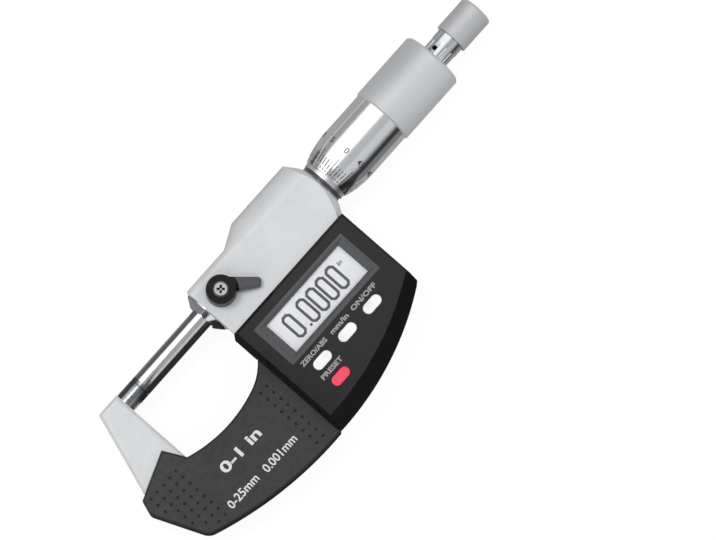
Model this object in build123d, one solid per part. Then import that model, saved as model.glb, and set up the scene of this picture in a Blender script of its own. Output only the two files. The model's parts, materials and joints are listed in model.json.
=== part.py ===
from build123d import *
import os
from math import cos, radians, sin

# Digital outside micrometer for 0 to 25 mm, lying on its back with its face up.
# The origin is the centre of the anvil's measuring face. +X runs along the
# spindle towards the thimble, +Y points away from the bow and +Z out of the
# display. The spindle is closed, so its face touches the anvil. Sizes in mm.

# Measuring range and the two measuring faces
measuring_range = 25.0
spindle_radius = 3.25
tip_length = 1.2
tip_chamfer = 0.15
anvil_length = 6.2
anvil_shank_radius = 2.3
anvil_shank_length = 6.0

# Clearances between pieces
running_clearance = 0.04
seat_clearance = 0.03
cover_gap = 0.15

# Frame, seen from the front
throat_width = 34.9
throat_start_y = -23.62
throat_floor_y = -26.3
throat_floor_shift = -2.6
throat_floor_end_y = -24.7
throat_right_run = 8.5
throat_rise_end_y = -19.2
arm_top_y = 3.2
arm_top_width = 7.5
bow_tip = (-23.8, -26.6)
bow_tip_radius = 1.2
bow_corner = (-17.45, -41.85)
bow_corner_radius = 3.0
bow_floor_y = -48.8
bow_floor_shift = 1.8
bow_end_y = -50.0
bow_thickness = 6.6
arm_thickness = 7.8
arm_edge_radius = 1.2

# Spindle housing of the frame
body_length = 48.2
body_thickness = 17.0
body_bottom_y = -10.75
neck_top_y = 7.5
neck_shoulder_radius = 2.2
neck_length = 16.0
neck_end_radius = 7.2
neck_end_slope = 0.9
neck_lip = 1.7
ramp_length = 7.6
bulge_top_y = 11.5
bulge_shoulder_radius = 7.2
nose_length = 2.5
nose_end_radius = 7.85

# Back plate of the frame behind the display, and the rib on it
plate_back_z = -9.5
plate_thickness = 3.5
plate_back_chamfer = 1.0
rib_width = 5.6
rib_height = 7.5
rib_inset = 1.8

# Display housing
housing_left_overhang = 0.3
housing_right_setback = 2.3
housing_top_y = -10.9
housing_left_y = -50.8
housing_floor_shift = -1.0
housing_floor_y = -48.6
housing_right_y = -39.4
housing_front_z = 9.7
housing_wall = 1.5
bevel_width = 4.2
bevel_depth = 3.5
housing_edge_chamfer = 0.8

# Display
bezel_side_margin = 4.55
bezel_top_margin = 3.4
bezel_shift = -0.1
bezel_height = 15.0
bezel_rim = 1.05
bezel_slope = (2.1, 0.8)
window_shift = (0.35, 0.1)
window_thickness = 0.8
window_lip = 0.9
bezel_sink = 0.1
bezel_lip = 1.0
bezel_tab_width = 28.0
bezel_tab_depth = 0.9
bezel_tab_thickness = 0.6
lcd_thickness = 1.7
lcd_border = (1.6, 1.5)
zebra_width = 1.6
board_thickness = 1.0
board_z = 4.2
board_edge_gap = 0.6

# Buttons, with their places in the row as shares of the housing's width
button_first_share = 0.238
button_pitch_share = 0.23
button_row_drop = 23.7
red_button_drop = 30.6
button_size = (6.4, 3.2)
button_proud = 0.7
button_side_gap = 0.12
button_flange = 0.7
button_flange_thickness = 0.8
keypad_sheet = 0.8
keypad_margin = 1.6
dome_radius = 1.25

# Battery and its cap
battery_share = 0.63
battery_drop = 18.6
battery_radius = 5.8
battery_height = 5.4
holder_wall = 0.6
holder_flange = 1.1
holder_flange_thickness = 0.7
contact_thickness = 0.25
contact_width = 4.0
cap_radius = 7.6
cap_thickness = 1.0
cap_plug_radius = 6.5
cap_plug_length = 1.3
cap_seal_section = 0.35
coin_slot_width = 1.4
coin_slot_depth = 0.6
coin_slot_length = 11.0
lug_length = 0.7
lug_thickness = 0.45
lug_width = 2.6
lug_angle = -60.0

# Lock
lock_inset = 6.5
lock_hub_radius = 4.5
lock_hub_height = 5.0
lock_hub_taper = 0.25
lock_lift = 0.2
lever_angle = -47.5
lever_reach = 11.4
lever_side = 3.7
lever_root_width = 4.9
lever_tip_width = 2.8
lever_tip_radius = 0.9
lever_root_height = 4.0
lever_tip_height = 2.7
lever_edge_chamfer = 0.6
lock_screw_head_radius = 2.3
lock_screw_head_height = 0.9
lock_screw_radius = 1.0
lock_screw_length = 4.5
cross_width = 0.7
cross_depth = 0.65
cross_reach_share = 0.52
cross_angle = 42.0
lock_shaft_radius = 2.2
lock_drive_size = 3.0
slug_radius = 1.45
slug_free_gap = 0.12
slug_length = 1.2

# Guide bush in the neck
bush_radius = 5.0
bush_length = 17.3
bush_nose_length = 1.8
bush_rim_length = 0.3
bush_nose_radius = 4.5
bush_flange_radius = 7.05

# Rotary encoder in the bulge
cavity_lead = 2.3
cavity_radius = 7.3
cavity_step = 0.3
cavity_step_length = 6.7
rotor_bush_length = 11.0
rotor_bush_radius = 4.9
rotor_disc_radius = 6.6
rotor_disc_thickness = 1.2
rotor_flange_thickness = 1.5
rotor_air_gap = 0.5
stator_thickness = 1.2
stator_bore_gap = 0.35
holder_ring_length = 5.0
key_radius = 0.6
key_depth = 0.75
key_end_margin = 2.6
flex_width = 2.4
flex_thickness = 0.3

# Sleeves and measuring screw
collar_length = 0.6
collar_radius = 6.8
seal_length = 1.1
seal_radius = 6.6
sleeve_radius = 6.92
sleeve_length = 29.4
inner_sleeve_radius = 5.9
nut_length = 3.2
nut_radius = 6.45
nut_gap = 0.3
thread_radius = 3.6
thread_relief = 0.35
thread_engagement = 15.0
slit_count = 3
slit_width = 0.6

# Thimble
thimble_setback = 1.4
thimble_edge_radius = 7.3
thimble_taper_length = 10.0
thimble_front_radius = 9.05
thimble_front_length = 23.9
thimble_grip_radius = 9.5
thimble_grip_length = 22.4
thimble_edge_break = 0.6
thimble_bore_clearance = 0.08
seat_start_gap = 1.8
seat_front_radius = 4.6
seat_rear_radius = 3.9
seat_length = 10.0

# Ratchet stop
ratchet_screw_radius = 2.0
ratchet_screw_length = 8.0
ratchet_neck_length = 4.6
ratchet_neck_radius = 4.15
flute_count = 12
flute_radius = 0.45
spanner_hole_radius = 0.75
spanner_hole_depth = 1.8
spanner_hole_angle = 20.0
ratchet_ring_length = 3.1
ratchet_ring_radius = 4.3
ratchet_waist_radius = 3.2
ratchet_waist_length = 1.0
crown_thickness = 1.1
ratchet_post_radius = 1.6
ratchet_post_length = 3.0
tooth_count = 12
tooth_depth = 0.6
tooth_base = 1.2
tooth_clearance = 0.05
knob_radius = 5.1
knob_length = 11.4
knob_wall = 0.85
knob_end_wall = 1.6
knob_dome = 0.9
knob_front_gap = 0.1
spline_count = 4
spline_width = 1.6
spline_depth = 0.3
driven_ring_thickness = 1.6
spring_wire_radius = 0.3
spring_radius = 2.9
spring_turns = 3
retainer_thickness = 0.5

# Grip covers
grip_thickness = 1.4
grip_peak = (-9.6, -17.1)
grip_left_drop = 6.8
grip_left_run = 18.1
grip_edge_chamfer = 0.5
dimple_pitch = 2.66
dimple_radius = 0.47
dimple_depth = 0.4
dimple_rows = 8
left_field_corner = (-24.5, -42.6)
left_field_columns = 6
right_field_inset = 7.2
right_field_low_y = -48.5
right_field_columns = 2
right_field_rows = 9
dimple_margin = 1.25

# Small fasteners
grip_screw_left = (-18.5, -33.5)
grip_screw_middle = (-1.5, -38.5)
grip_screw_right_inset = 5.4
grip_screw_right_y = -36.0
grip_screw_radius = 0.8
grip_screw_head_radius = 1.6
grip_screw_head_height = 0.9
housing_screw_radius = 0.95
housing_screw_head_radius = 1.9
housing_screw_head_height = 1.0
housing_screw_inset = 3.8
housing_screw_reach = 6.0
housing_post_radius = 1.75
board_screw_radius = 0.6
board_screw_head_radius = 1.3
board_screw_head_height = 0.7
board_screw_length = 3.0
board_post_radius = 1.4
board_screw_insets = (5.6, 7.7)
board_screw_drops = (20.6, 20.4)

# Places that follow from the sizes above
arm_face_x = -anvil_length
body_x = arm_face_x + throat_width
body_end_x = body_x + body_length
body_half = body_thickness / 2
ramp_x = body_x + neck_length
bulge_x = ramp_x + ramp_length
lock_x = body_x + lock_inset
throat_floor_left = (arm_face_x, throat_start_y)
throat_floor = ((arm_face_x + body_x) / 2 + throat_floor_shift, throat_floor_y)
throat_floor_right = (body_x - throat_right_run, throat_floor_end_y)
bow_half = bow_thickness / 2
arm_half = arm_thickness / 2
grip_z = bow_half + grip_thickness
plate_top_z = plate_back_z + plate_thickness
rib_top_z = plate_top_z + rib_height
housing_left_x = body_x - housing_left_overhang
housing_right_x = body_end_x - housing_right_setback
housing_width = housing_right_x - housing_left_x
housing_middle_x = (housing_left_x + housing_right_x) / 2
housing_floor = (housing_middle_x + housing_floor_shift, housing_floor_y)
bow_floor = ((bow_corner[0] + housing_left_x + rib_inset) / 2 + bow_floor_shift, bow_floor_y)
housing_inner_z = housing_front_z - housing_wall
board_top_z = board_z + board_thickness
bezel_size = (housing_width - 2 * bezel_side_margin, bezel_height)
bezel_centre = (housing_middle_x + bezel_shift, housing_top_y - bezel_top_margin - bezel_height / 2)
bezel_mouth_size = (bezel_size[0] - 2 * bezel_rim, bezel_size[1] - 2 * bezel_rim)
window_view_size = (bezel_mouth_size[0] - 2 * bezel_slope[0], bezel_mouth_size[1] - 2 * bezel_slope[1])
window_centre = (bezel_centre[0] + window_shift[0], bezel_centre[1] + window_shift[1])
bezel_front_z = housing_front_z - bezel_sink
window_top_z = bezel_front_z - bezel_lip
window_z = window_top_z - window_thickness
lcd_z = window_z - lcd_thickness
button_first_x = housing_left_x + button_first_share * housing_width
button_pitch = button_pitch_share * housing_width
button_row_y = housing_top_y - button_row_drop
red_button_y = housing_top_y - red_button_drop
battery_centre = (housing_left_x + battery_share * housing_width, housing_top_y - battery_drop)
board_screw_left = (housing_left_x + board_screw_insets[0], housing_top_y - board_screw_drops[0])
board_screw_right = (housing_right_x - board_screw_insets[1], housing_top_y - board_screw_drops[1])
board_screw_places = (board_screw_left, board_screw_right)
grip_screw_right = (housing_left_x - grip_screw_right_inset, grip_screw_right_y)
grip_screw_places = (grip_screw_left, grip_screw_middle, grip_screw_right)
right_field_corner = (housing_left_x - right_field_inset, right_field_low_y)
bush_front_x = body_x - bush_rim_length - bush_nose_length
cavity_x = bulge_x - cavity_lead
rotor_x = cavity_x + seat_clearance
stator_x = cavity_x + cavity_step_length
rotor_disc_x = stator_x - rotor_air_gap - rotor_disc_thickness
rotor_end_x = rotor_x + rotor_bush_length
key_x = rotor_end_x - key_end_margin
holder_ring_x = stator_x + stator_thickness
inner_sleeve_x = holder_ring_x + holder_ring_length
seal_x = body_end_x + collar_length
sleeve_x = seal_x + seal_length
thimble_x = sleeve_x + thimble_setback
sleeve_end_x = sleeve_x + sleeve_length
nut_x = sleeve_end_x + nut_gap
inner_sleeve_end_x = nut_x + nut_length
thread_x = inner_sleeve_end_x - thread_engagement - measuring_range
seat_x = inner_sleeve_end_x + seat_start_gap
seat_end_x = seat_x + seat_length
thimble_grip_x = thimble_x + thimble_front_length
thimble_end_x = thimble_grip_x + thimble_grip_length
neck_end_x = thimble_end_x + ratchet_neck_length
ring_end_x = neck_end_x + ratchet_ring_length
crown_x = ring_end_x + ratchet_waist_length
crown_end_x = crown_x + crown_thickness
knob_x = ring_end_x + knob_front_gap
knob_end_x = knob_x + knob_length
knob_bore_radius = knob_radius - knob_wall
knob_bore_end_x = knob_end_x - knob_end_wall
driven_x = crown_end_x + tooth_clearance
driven_end_x = driven_x + driven_ring_thickness
lock_base_z = body_half + lock_lift
lock_top_z = lock_base_z + lock_hub_height
slug_z = spindle_radius + slug_free_gap
slug_top_z = slug_z + slug_length
battery_cap_z = plate_back_z + cap_thickness
battery_z = battery_cap_z + cap_plug_length + 2 * seat_clearance
battery_top_z = battery_z + battery_height
UP = (0, 0, 1)


def turned(*profile):
    """Solid of revolution about the X axis from (x, radius) corners."""
    return revolve(make_face(Polyline(*profile, close=True)), Axis.X)


def rod(x0, x1, radius):
    return turned((x0, 0), (x0, radius), (x1, radius), (x1, 0))


def ring(x0, x1, outer, inner):
    return turned((x0, inner), (x0, outer), (x1, outer), (x1, inner))


def slab(outline, z0, z1):
    """A flat outline made solid between two heights."""
    return extrude(Pos(0, 0, z0) * outline, z1 - z0, dir=UP)


def post(x, y, z0, z1, radius):
    return Pos(x, y, (z0 + z1) / 2) * Cylinder(radius, z1 - z0)


def block(x0, x1, y0, y1, z0, z1):
    return Pos((x0 + x1) / 2, (y0 + y1) / 2, (z0 + z1) / 2) * Box(x1 - x0, y1 - y0, z1 - z0)


def plate(centre, size, z0, z1):
    """A rectangular plate given by its centre and its size seen from the front."""
    x, y = centre
    return Pos(x, y, (z0 + z1) / 2) * Box(size[0], size[1], z1 - z0)


def grown(size, amount):
    return (size[0] + 2 * amount, size[1] + 2 * amount)


# Outlines seen from the front


def throat_outline():
    """The measuring gap: straight sides, and a shallow curved floor that rises to the right."""
    open_y = 2 * bulge_top_y
    left_side = Line((arm_face_x, open_y), throat_floor_left)
    floor = ThreePointArc(throat_floor_left, throat_floor, throat_floor_right)
    rise_end = (body_x, throat_rise_end_y)
    rise = TangentArc(throat_floor_right, rise_end, tangent=floor % 1)
    right_side = Line(rise_end, (body_x, open_y))
    top = Line((body_x, open_y), (arm_face_x, open_y))
    return make_face([left_side, floor, rise, right_side, top])


def bow_outline():
    """Arm and bow of the frame with the measuring gap still filled."""
    right_x = housing_left_x + rib_inset
    arm_corner = (arm_face_x - arm_top_width, arm_top_y)
    sides = Polyline((right_x, bow_end_y), (right_x, arm_top_y), arm_corner, bow_tip, bow_corner)
    underside = ThreePointArc(bow_corner, bow_floor, (right_x, bow_end_y))
    outline = make_face([sides, underside])
    corners = outline.vertices().sort_by(Axis.X)
    outline = fillet(corners[:1], bow_tip_radius)
    corners = outline.vertices().sort_by_distance(bow_corner)
    return fillet(corners[:1], bow_corner_radius)


def housing_outline(rise=0):
    """Display housing: straight sides and a long curved underside, which rise moves up."""
    left_end = (housing_left_x, housing_left_y + rise)
    right_end = (housing_right_x, housing_right_y + rise)
    top_left = (housing_left_x, housing_top_y)
    top_right = (housing_right_x, housing_top_y)
    sides = Polyline(right_end, top_right, top_left, left_end)
    floor = (housing_floor[0], housing_floor[1] + rise)
    underside = ThreePointArc(left_end, floor, right_end)
    return make_face([sides, underside])


def grip_region():
    """The area that a grip cover takes: below a peak on the arm, and left of the housing."""
    left = grip_peak[0] - grip_left_run
    below = 2 * bow_end_y
    right = housing_left_x - cover_gap
    return make_face(
        Polyline(
            (left, grip_peak[1] - grip_left_drop),
            grip_peak,
            throat_floor_left,
            (throat_floor[0], body_bottom_y),
            (right, body_bottom_y),
            (right, below),
            (left, below),
            close=True,
        )
    )


def grip_outline():
    return (offset(bow_outline(), grip_thickness) & grip_region()) - throat_outline()


# Frame


def body_section(x, top_y, shoulder_radius):
    """Cross-section of the spindle housing: flat front and back, rounded along the top."""
    section_plane = Plane(origin=(x, 0, 0), x_dir=(0, 1, 0), z_dir=(1, 0, 0))
    outline = Pos(body_bottom_y, 0) * Rectangle(
        top_y - body_bottom_y, body_thickness, align=(Align.MIN, Align.CENTER)
    )
    shoulders = outline.vertices().sort_by(Axis.X)[-2:]
    return section_plane * fillet(shoulders, shoulder_radius)


def spindle_housing():
    """Neck at the lock, a ramp and the bulge round the encoder, with a blunt cone at both ends."""
    neck = body_section(body_x, neck_top_y, neck_shoulder_radius)
    ramp_start = body_section(ramp_x, neck_top_y, neck_shoulder_radius)
    ramp_end = body_section(bulge_x, bulge_top_y, bulge_shoulder_radius)
    solid = extrude(neck, neck_length, dir=(1, 0, 0))
    solid += loft([ramp_start, ramp_end], ruled=True)
    solid += extrude(ramp_end, body_end_x - bulge_x, dir=(1, 0, 0))
    far = 2 * bulge_top_y
    slope = (bulge_top_y - nose_end_radius) / nose_length
    outside_nose = turned(
        (body_end_x, nose_end_radius),
        (body_end_x, far),
        (body_end_x - (far - nose_end_radius) / slope, far),
    )
    far_x = body_x + (far - neck_end_radius) / neck_end_slope
    outside_neck = turned((body_x, neck_end_radius), (body_x, far), (far_x, far))
    front_lip = block(body_x, far_x, -far, far, body_half - neck_lip, far)
    return solid - outside_nose - (outside_neck - front_lip)


def housing_screw_places():
    """Four places just inside the corners of the display housing."""
    left = housing_left_x + housing_screw_inset
    right = housing_right_x - housing_screw_inset
    top = housing_top_y - housing_screw_inset
    low_left = housing_left_y + housing_screw_inset + rib_inset
    low_right = housing_right_y + housing_screw_inset + rib_inset
    return ((left, top), (right, top), (left, low_left), (right, low_right))


def display_tray():
    """Back plate with a rib round its edge; the display housing stands on the plate."""
    outline = housing_outline()
    plate_outline = offset(outline, -housing_left_overhang)
    base = slab(plate_outline, plate_back_z, plate_top_z)
    base = chamfer(base.faces().sort_by(Axis.Z)[0].edges(), plate_back_chamfer)
    joint_depth = 2 * plate_back_chamfer
    joint_y = body_bottom_y + joint_depth
    joint_z = (plate_back_z + plate_back_chamfer, plate_top_z)
    base += block(*rib_joint_span(), housing_top_y - joint_depth, joint_y, *joint_z)
    rib_outer = offset(outline, -rib_inset)
    rib_inner = offset(outline, -rib_inset - rib_width)
    rib = slab(rib_outer, plate_top_z, rib_top_z) - slab(rib_inner, plate_top_z, rib_top_z)
    rib += block(*rib_joint_span(), housing_top_y - rib_inset - 1, joint_y, plate_top_z, rib_top_z)
    root_y = (housing_left_y + rib_inset, throat_rise_end_y)
    rib += block(body_x, housing_left_x + rib_inset + 1, *root_y, plate_top_z, -bow_half)
    return base + rib


def rib_joint_span():
    """Ends along X of the rib's joint with the spindle housing."""
    return (housing_left_x + 2 * rib_inset, housing_right_x - rib_inset)


def make_frame():
    """One casting: anvil arm, bow, spindle housing and the tray behind the display."""
    bow = bow_outline() - throat_outline()
    low_y = housing_left_y + rib_inset
    low_corner = Pos(housing_left_x, low_y) * Rectangle(rib_width, rib_width, align=(Align.MIN, Align.MAX))
    wall_y = throat_rise_end_y + throat_width
    wall_align = (Align.MIN, Align.CENTER)
    beside_throat = Pos(body_x, wall_y) * Rectangle(rib_width, 2 * throat_width, align=wall_align)
    frame = slab(bow - low_corner - beside_throat, -bow_half, bow_half)
    frame += anvil_arm(bow)
    frame += display_tray()
    frame += spindle_housing()

    # Bores along the spindle
    frame -= rod(body_x - 1, body_x + bush_length, bush_radius + seat_clearance)
    frame -= rod(body_x, cavity_x, thread_radius + thread_relief)
    frame -= rod(cavity_x, stator_x, cavity_radius - cavity_step)
    frame -= rod(stator_x, body_end_x + 1, cavity_radius)
    shank = anvil_shank_length + tip_chamfer
    frame -= rod(arm_face_x - shank, arm_face_x + 1, anvil_shank_radius + seat_clearance)

    # Threaded hole for the lock's shaft
    frame -= post(lock_x, 0, 0, body_half + 1, lock_shaft_radius + running_clearance)

    # Slot for the encoder's flat cable from the bulge into the tray
    half_width = flex_width / 2 + cover_gap
    low_y = housing_top_y - rib_inset - rib_width - 1
    frame -= block(
        stator_x - cover_gap, stator_x + flex_thickness + cover_gap, low_y, 0, -half_width, half_width
    )

    # Battery opening in the plate, with a lip that holds the cap's lugs
    x, y = battery_centre
    frame -= post(x, y, plate_back_z - 1, battery_cap_z, cap_radius + cover_gap)
    frame -= post(x, y, plate_back_z, plate_top_z + 1, cap_plug_radius + running_clearance)
    frame -= lug_channel(x, y)

    # Screw holes
    for x, y in housing_screw_places():
        frame -= post(x, y, plate_back_z - 1, rib_top_z + 1, housing_screw_radius + cover_gap)
        frame -= countersink(x, y, plate_back_z, housing_screw_head_radius, housing_screw_head_height)
    for x, y in grip_screw_places:
        frame -= post(x, y, -body_half, body_half, 2 * grip_screw_radius + cover_gap)
    return frame


def anvil_arm(bow):
    """Thicker arm above the grip covers, with rounded edges."""
    reach = 2 * throat_width
    low_y = grip_peak[1] - grip_left_drop
    left_half = Pos((arm_face_x - reach) / 2, low_y + reach / 2) * Rectangle(reach, reach)
    arm = slab(bow & left_half, -arm_half, arm_half)
    sides = arm.edges().filter_by(Plane.XY).filter_by(lambda edge: edge.center().Y > throat_start_y)
    arm = fillet(sides, arm_edge_radius)
    return arm - slab(offset(grip_region(), cover_gap), -arm_half, arm_half)


def countersink(x, y, z, head_radius, head_height):
    """Seat for a flush screw head that is driven upwards from height z."""
    clear_radius = head_radius + seat_clearance
    seat = Pos(x, y, z + head_height / 2) * Cone(clear_radius, clear_radius / 2, head_height)
    return seat + post(x, y, z - 1, z, clear_radius)


def lug_channel(x, y):
    """Groove under the lip of the battery well, with two notches to let the lugs in."""
    lug_reach = cap_plug_radius + lug_length + running_clearance
    low = battery_cap_z + lug_lift() - seat_clearance
    high = low + lug_thickness + 2 * seat_clearance
    channel = post(x, y, low, high, lug_reach)
    half_width = lug_width / 2 + cover_gap
    notch = block(-lug_reach, lug_reach, -half_width, half_width, 0, high - battery_cap_z)
    notch &= post(0, 0, 0, high - battery_cap_z, lug_reach)
    return channel + Pos(x, y, battery_cap_z) * Rot(0, 0, lug_angle) * notch


def lug_lift():
    """Height of the cap's lugs above its flange, which leaves the lip between them."""
    return cap_plug_length - lug_thickness - 2 * seat_clearance


# Measuring faces and spindle


def make_anvil():
    back_x = arm_face_x - anvil_shank_length
    return turned(
        (back_x, 0),
        (back_x, anvil_shank_radius),
        (arm_face_x, anvil_shank_radius),
        (arm_face_x, spindle_radius),
        (-tip_length, spindle_radius),
        (-tip_length, 0),
    )


def measuring_tip(face_x, direction):
    """Hard metal disc whose flat face lies at face_x and whose body points in one direction."""
    back_x = face_x + direction * tip_length
    edge_x = face_x + direction * tip_chamfer
    return turned(
        (face_x, 0),
        (face_x, spindle_radius - tip_chamfer),
        (edge_x, spindle_radius),
        (back_x, spindle_radius),
        (back_x, 0),
    )


def make_spindle():
    """Ground rod, measuring screw and taper seat in one piece, with a keyway for the encoder."""
    spindle = turned(
        (tip_length, 0),
        (tip_length, spindle_radius),
        (thread_x, spindle_radius),
        (thread_x, thread_radius),
        (seat_x, thread_radius),
        (seat_x, seat_front_radius),
        (seat_end_x, seat_rear_radius),
        (seat_end_x, 0),
    )
    keyway_end = key_x + key_radius + 2 * running_clearance
    keyway_start = key_x - measuring_range - key_radius - 2 * running_clearance
    half_width = key_radius + running_clearance
    floor_y = spindle_radius - key_depth - running_clearance
    spindle -= block(keyway_start, keyway_end, floor_y, 2 * spindle_radius, -half_width, half_width)
    hole_start = thimble_end_x - ratchet_screw_length - 1
    return spindle - rod(hole_start, seat_end_x, ratchet_screw_radius + seat_clearance)


def make_guide_bush():
    """Steel bush pressed into the neck, with a polished conical nose towards the anvil."""
    end_x = body_x + bush_length
    bore = spindle_radius + running_clearance
    bush = turned(
        (bush_front_x, bore),
        (bush_front_x, bush_nose_radius),
        (body_x - bush_rim_length, bush_flange_radius),
        (body_x, bush_flange_radius),
        (body_x, bush_radius),
        (end_x, bush_radius),
        (end_x, bore),
    )
    return bush - post(lock_x, 0, 0, 2 * bush_radius, slug_radius + running_clearance)


# Encoder


def make_rotor_bush():
    bore = spindle_radius + running_clearance
    flange_x = rotor_disc_x - rotor_flange_thickness
    bush = turned(
        (rotor_x, bore),
        (rotor_x, rotor_bush_radius),
        (flange_x, rotor_bush_radius),
        (flange_x, rotor_disc_radius),
        (rotor_disc_x, rotor_disc_radius),
        (rotor_disc_x, rotor_bush_radius),
        (rotor_end_x, rotor_bush_radius),
        (rotor_end_x, bore),
    )
    return bush - key_pin(key_radius + seat_clearance)


def key_pin(radius):
    """Radial pin that stands in the spindle's keyway."""
    foot_y = spindle_radius - key_depth
    length = rotor_bush_radius - foot_y
    return Pos(key_x, foot_y + length / 2, 0) * Rot(90, 0, 0) * Cylinder(radius, length)


def make_rotor_disc():
    inner = rotor_bush_radius + seat_clearance
    return ring(rotor_disc_x, rotor_disc_x + rotor_disc_thickness, rotor_disc_radius, inner)


def make_stator_disc():
    outer = cavity_radius - seat_clearance
    inner = rotor_bush_radius + stator_bore_gap
    return ring(stator_x, holder_ring_x, outer, inner)


def make_stator_holder():
    outer = cavity_radius - seat_clearance
    inner = rotor_bush_radius + stator_bore_gap
    return ring(holder_ring_x, inner_sleeve_x, outer, inner)


def make_stator_cable():
    """Flat cable from the fixed encoder disc into the tray and up to the circuit board."""
    half_width = flex_width / 2
    low_y = housing_top_y - rib_inset - rib_width - 1
    x_span = (stator_x, stator_x + flex_thickness)
    cable = block(*x_span, low_y, -cavity_radius + seat_clearance, -half_width, half_width)
    return cable + block(*x_span, low_y, low_y + half_width, -half_width, board_z)


# Sleeves


def make_inner_sleeve():
    """Fixed nut of the measuring screw: a flange in the frame and a slit, threaded end."""
    relief = thread_radius + thread_relief
    nut_start = inner_sleeve_end_x - thread_engagement
    outer = cavity_radius - seat_clearance
    sleeve = turned(
        (inner_sleeve_x, relief),
        (inner_sleeve_x, outer),
        (body_end_x, outer),
        (seal_x, collar_radius),
        (seal_x, inner_sleeve_radius),
        (inner_sleeve_end_x, inner_sleeve_radius),
        (inner_sleeve_end_x, thread_radius + running_clearance),
        (nut_start, thread_radius + running_clearance),
        (nut_start, relief),
    )
    slit = block(
        nut_start + thread_relief,
        inner_sleeve_end_x + 1,
        0,
        2 * inner_sleeve_radius,
        -slit_width / 2,
        slit_width / 2,
    )
    for number in range(slit_count):
        sleeve -= Rot(number * 360 / slit_count, 0, 0) * slit
    return sleeve


def make_sleeve_seal():
    return ring(seal_x, sleeve_x, seal_radius, inner_sleeve_radius + seat_clearance)


def make_scale_sleeve():
    return ring(sleeve_x, sleeve_end_x, sleeve_radius, inner_sleeve_radius + seat_clearance)


def make_adjusting_nut():
    """Ring nut that closes the slit end of the inner sleeve, with two spanner notches."""
    nut = ring(nut_x, inner_sleeve_end_x, nut_radius, inner_sleeve_radius + seat_clearance)
    half = slit_width
    depth = nut_length / 3
    return nut - block(inner_sleeve_end_x - depth, inner_sleeve_end_x, -half, half, -nut_radius, nut_radius)


def make_thimble():
    """Drum with a curved front edge, a polished front and a wider grip, on the taper seat."""
    bore = sleeve_radius + thimble_bore_clearance
    taper_end = thimble_x + thimble_taper_length
    step = thimble_grip_radius - thimble_front_radius
    edge = thimble_edge_break
    seat_slope = (seat_front_radius - seat_rear_radius) / seat_length
    front_hole = seat_front_radius + seat_clearance
    rear_hole = front_hole - seat_slope * (thimble_end_x - seat_x)
    front_end = (thimble_x, thimble_edge_radius)
    edge_arc = TangentArc((taper_end, thimble_front_radius), front_end, tangent=(-1, 0))
    outline = Polyline(
        (taper_end, thimble_front_radius),
        (thimble_grip_x, thimble_front_radius),
        (thimble_grip_x + step, thimble_grip_radius),
        (thimble_end_x - edge, thimble_grip_radius),
        (thimble_end_x, thimble_grip_radius - edge),
        (thimble_end_x, rear_hole),
        (seat_x, front_hole),
        (seat_x, bore),
        (thimble_x, bore),
        front_end,
    )
    return revolve(make_face([outline, edge_arc]), Axis.X)


# Ratchet stop


def tooth_prism(base, depth):
    """A saw-tooth bar along the radius, standing on the YZ plane: one steep and one sloping flank."""
    reach = 2 * knob_radius
    profile = Polyline((0, -base / 2), (depth, -base / 2), (0, base / 2), close=True)
    return extrude(make_face(profile), reach, dir=UP)


def teeth(base, depth):
    tooth = tooth_prism(base, depth)
    return [Rot(number * 360 / tooth_count, 0, 0) * tooth for number in range(tooth_count)]


def make_ratchet_body():
    """Screw, fluted neck, smooth ring and toothed crown in one piece, with a guide post."""
    screw_x = thimble_end_x - ratchet_screw_length
    post_end_x = crown_end_x + ratchet_post_length
    body = turned(
        (screw_x, 0),
        (screw_x, ratchet_screw_radius),
        (thimble_end_x, ratchet_screw_radius),
        (thimble_end_x, ratchet_neck_radius),
        (neck_end_x, ratchet_neck_radius),
        (neck_end_x, ratchet_ring_radius),
        (ring_end_x, ratchet_ring_radius),
        (ring_end_x, ratchet_waist_radius),
        (crown_x, ratchet_waist_radius),
        (crown_x, knob_bore_radius - running_clearance),
        (crown_end_x, knob_bore_radius - running_clearance),
        (crown_end_x, ratchet_post_radius),
        (post_end_x, ratchet_post_radius),
        (post_end_x, 0),
    )
    flute_length = ratchet_neck_length - 2 * flute_radius
    flute = Rot(0, 90, 0) * Cylinder(flute_radius, flute_length)
    middle_x = (thimble_end_x + neck_end_x) / 2
    for number in range(flute_count):
        angle = radians((number + 0.5) * 360 / flute_count)
        y = (ratchet_neck_radius + flute_radius / 2) * cos(angle)
        z = (ratchet_neck_radius + flute_radius / 2) * sin(angle)
        body -= Pos(middle_x, y, z) * flute
    hole_z = ratchet_neck_radius - spanner_hole_depth
    hole = post(middle_x, 0, hole_z, 2 * ratchet_neck_radius, spanner_hole_radius)
    body -= Rot(-spanner_hole_angle, 0, 0) * hole
    grooves = [Pos(crown_end_x, 0, 0) * mirror(tooth, Plane.YZ) for tooth in teeth(tooth_base, tooth_depth)]
    clear_of_post = rod(crown_x, crown_end_x + 1, ratchet_post_radius + tooth_clearance)
    for groove in grooves:
        body -= groove - clear_of_post
    return body


def spline_bars(depth, width, x0, x1):
    """Keys at the rim that let the driven ring slide, but not turn, inside the knob."""
    bars = []
    for number in range(spline_count):
        outer = knob_bore_radius + depth
        bar = block(x0, x1, 0, outer, -width / 2, width / 2)
        bars.append(Rot(number * 360 / spline_count + 45, 0, 0) * bar)
    return bars


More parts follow.
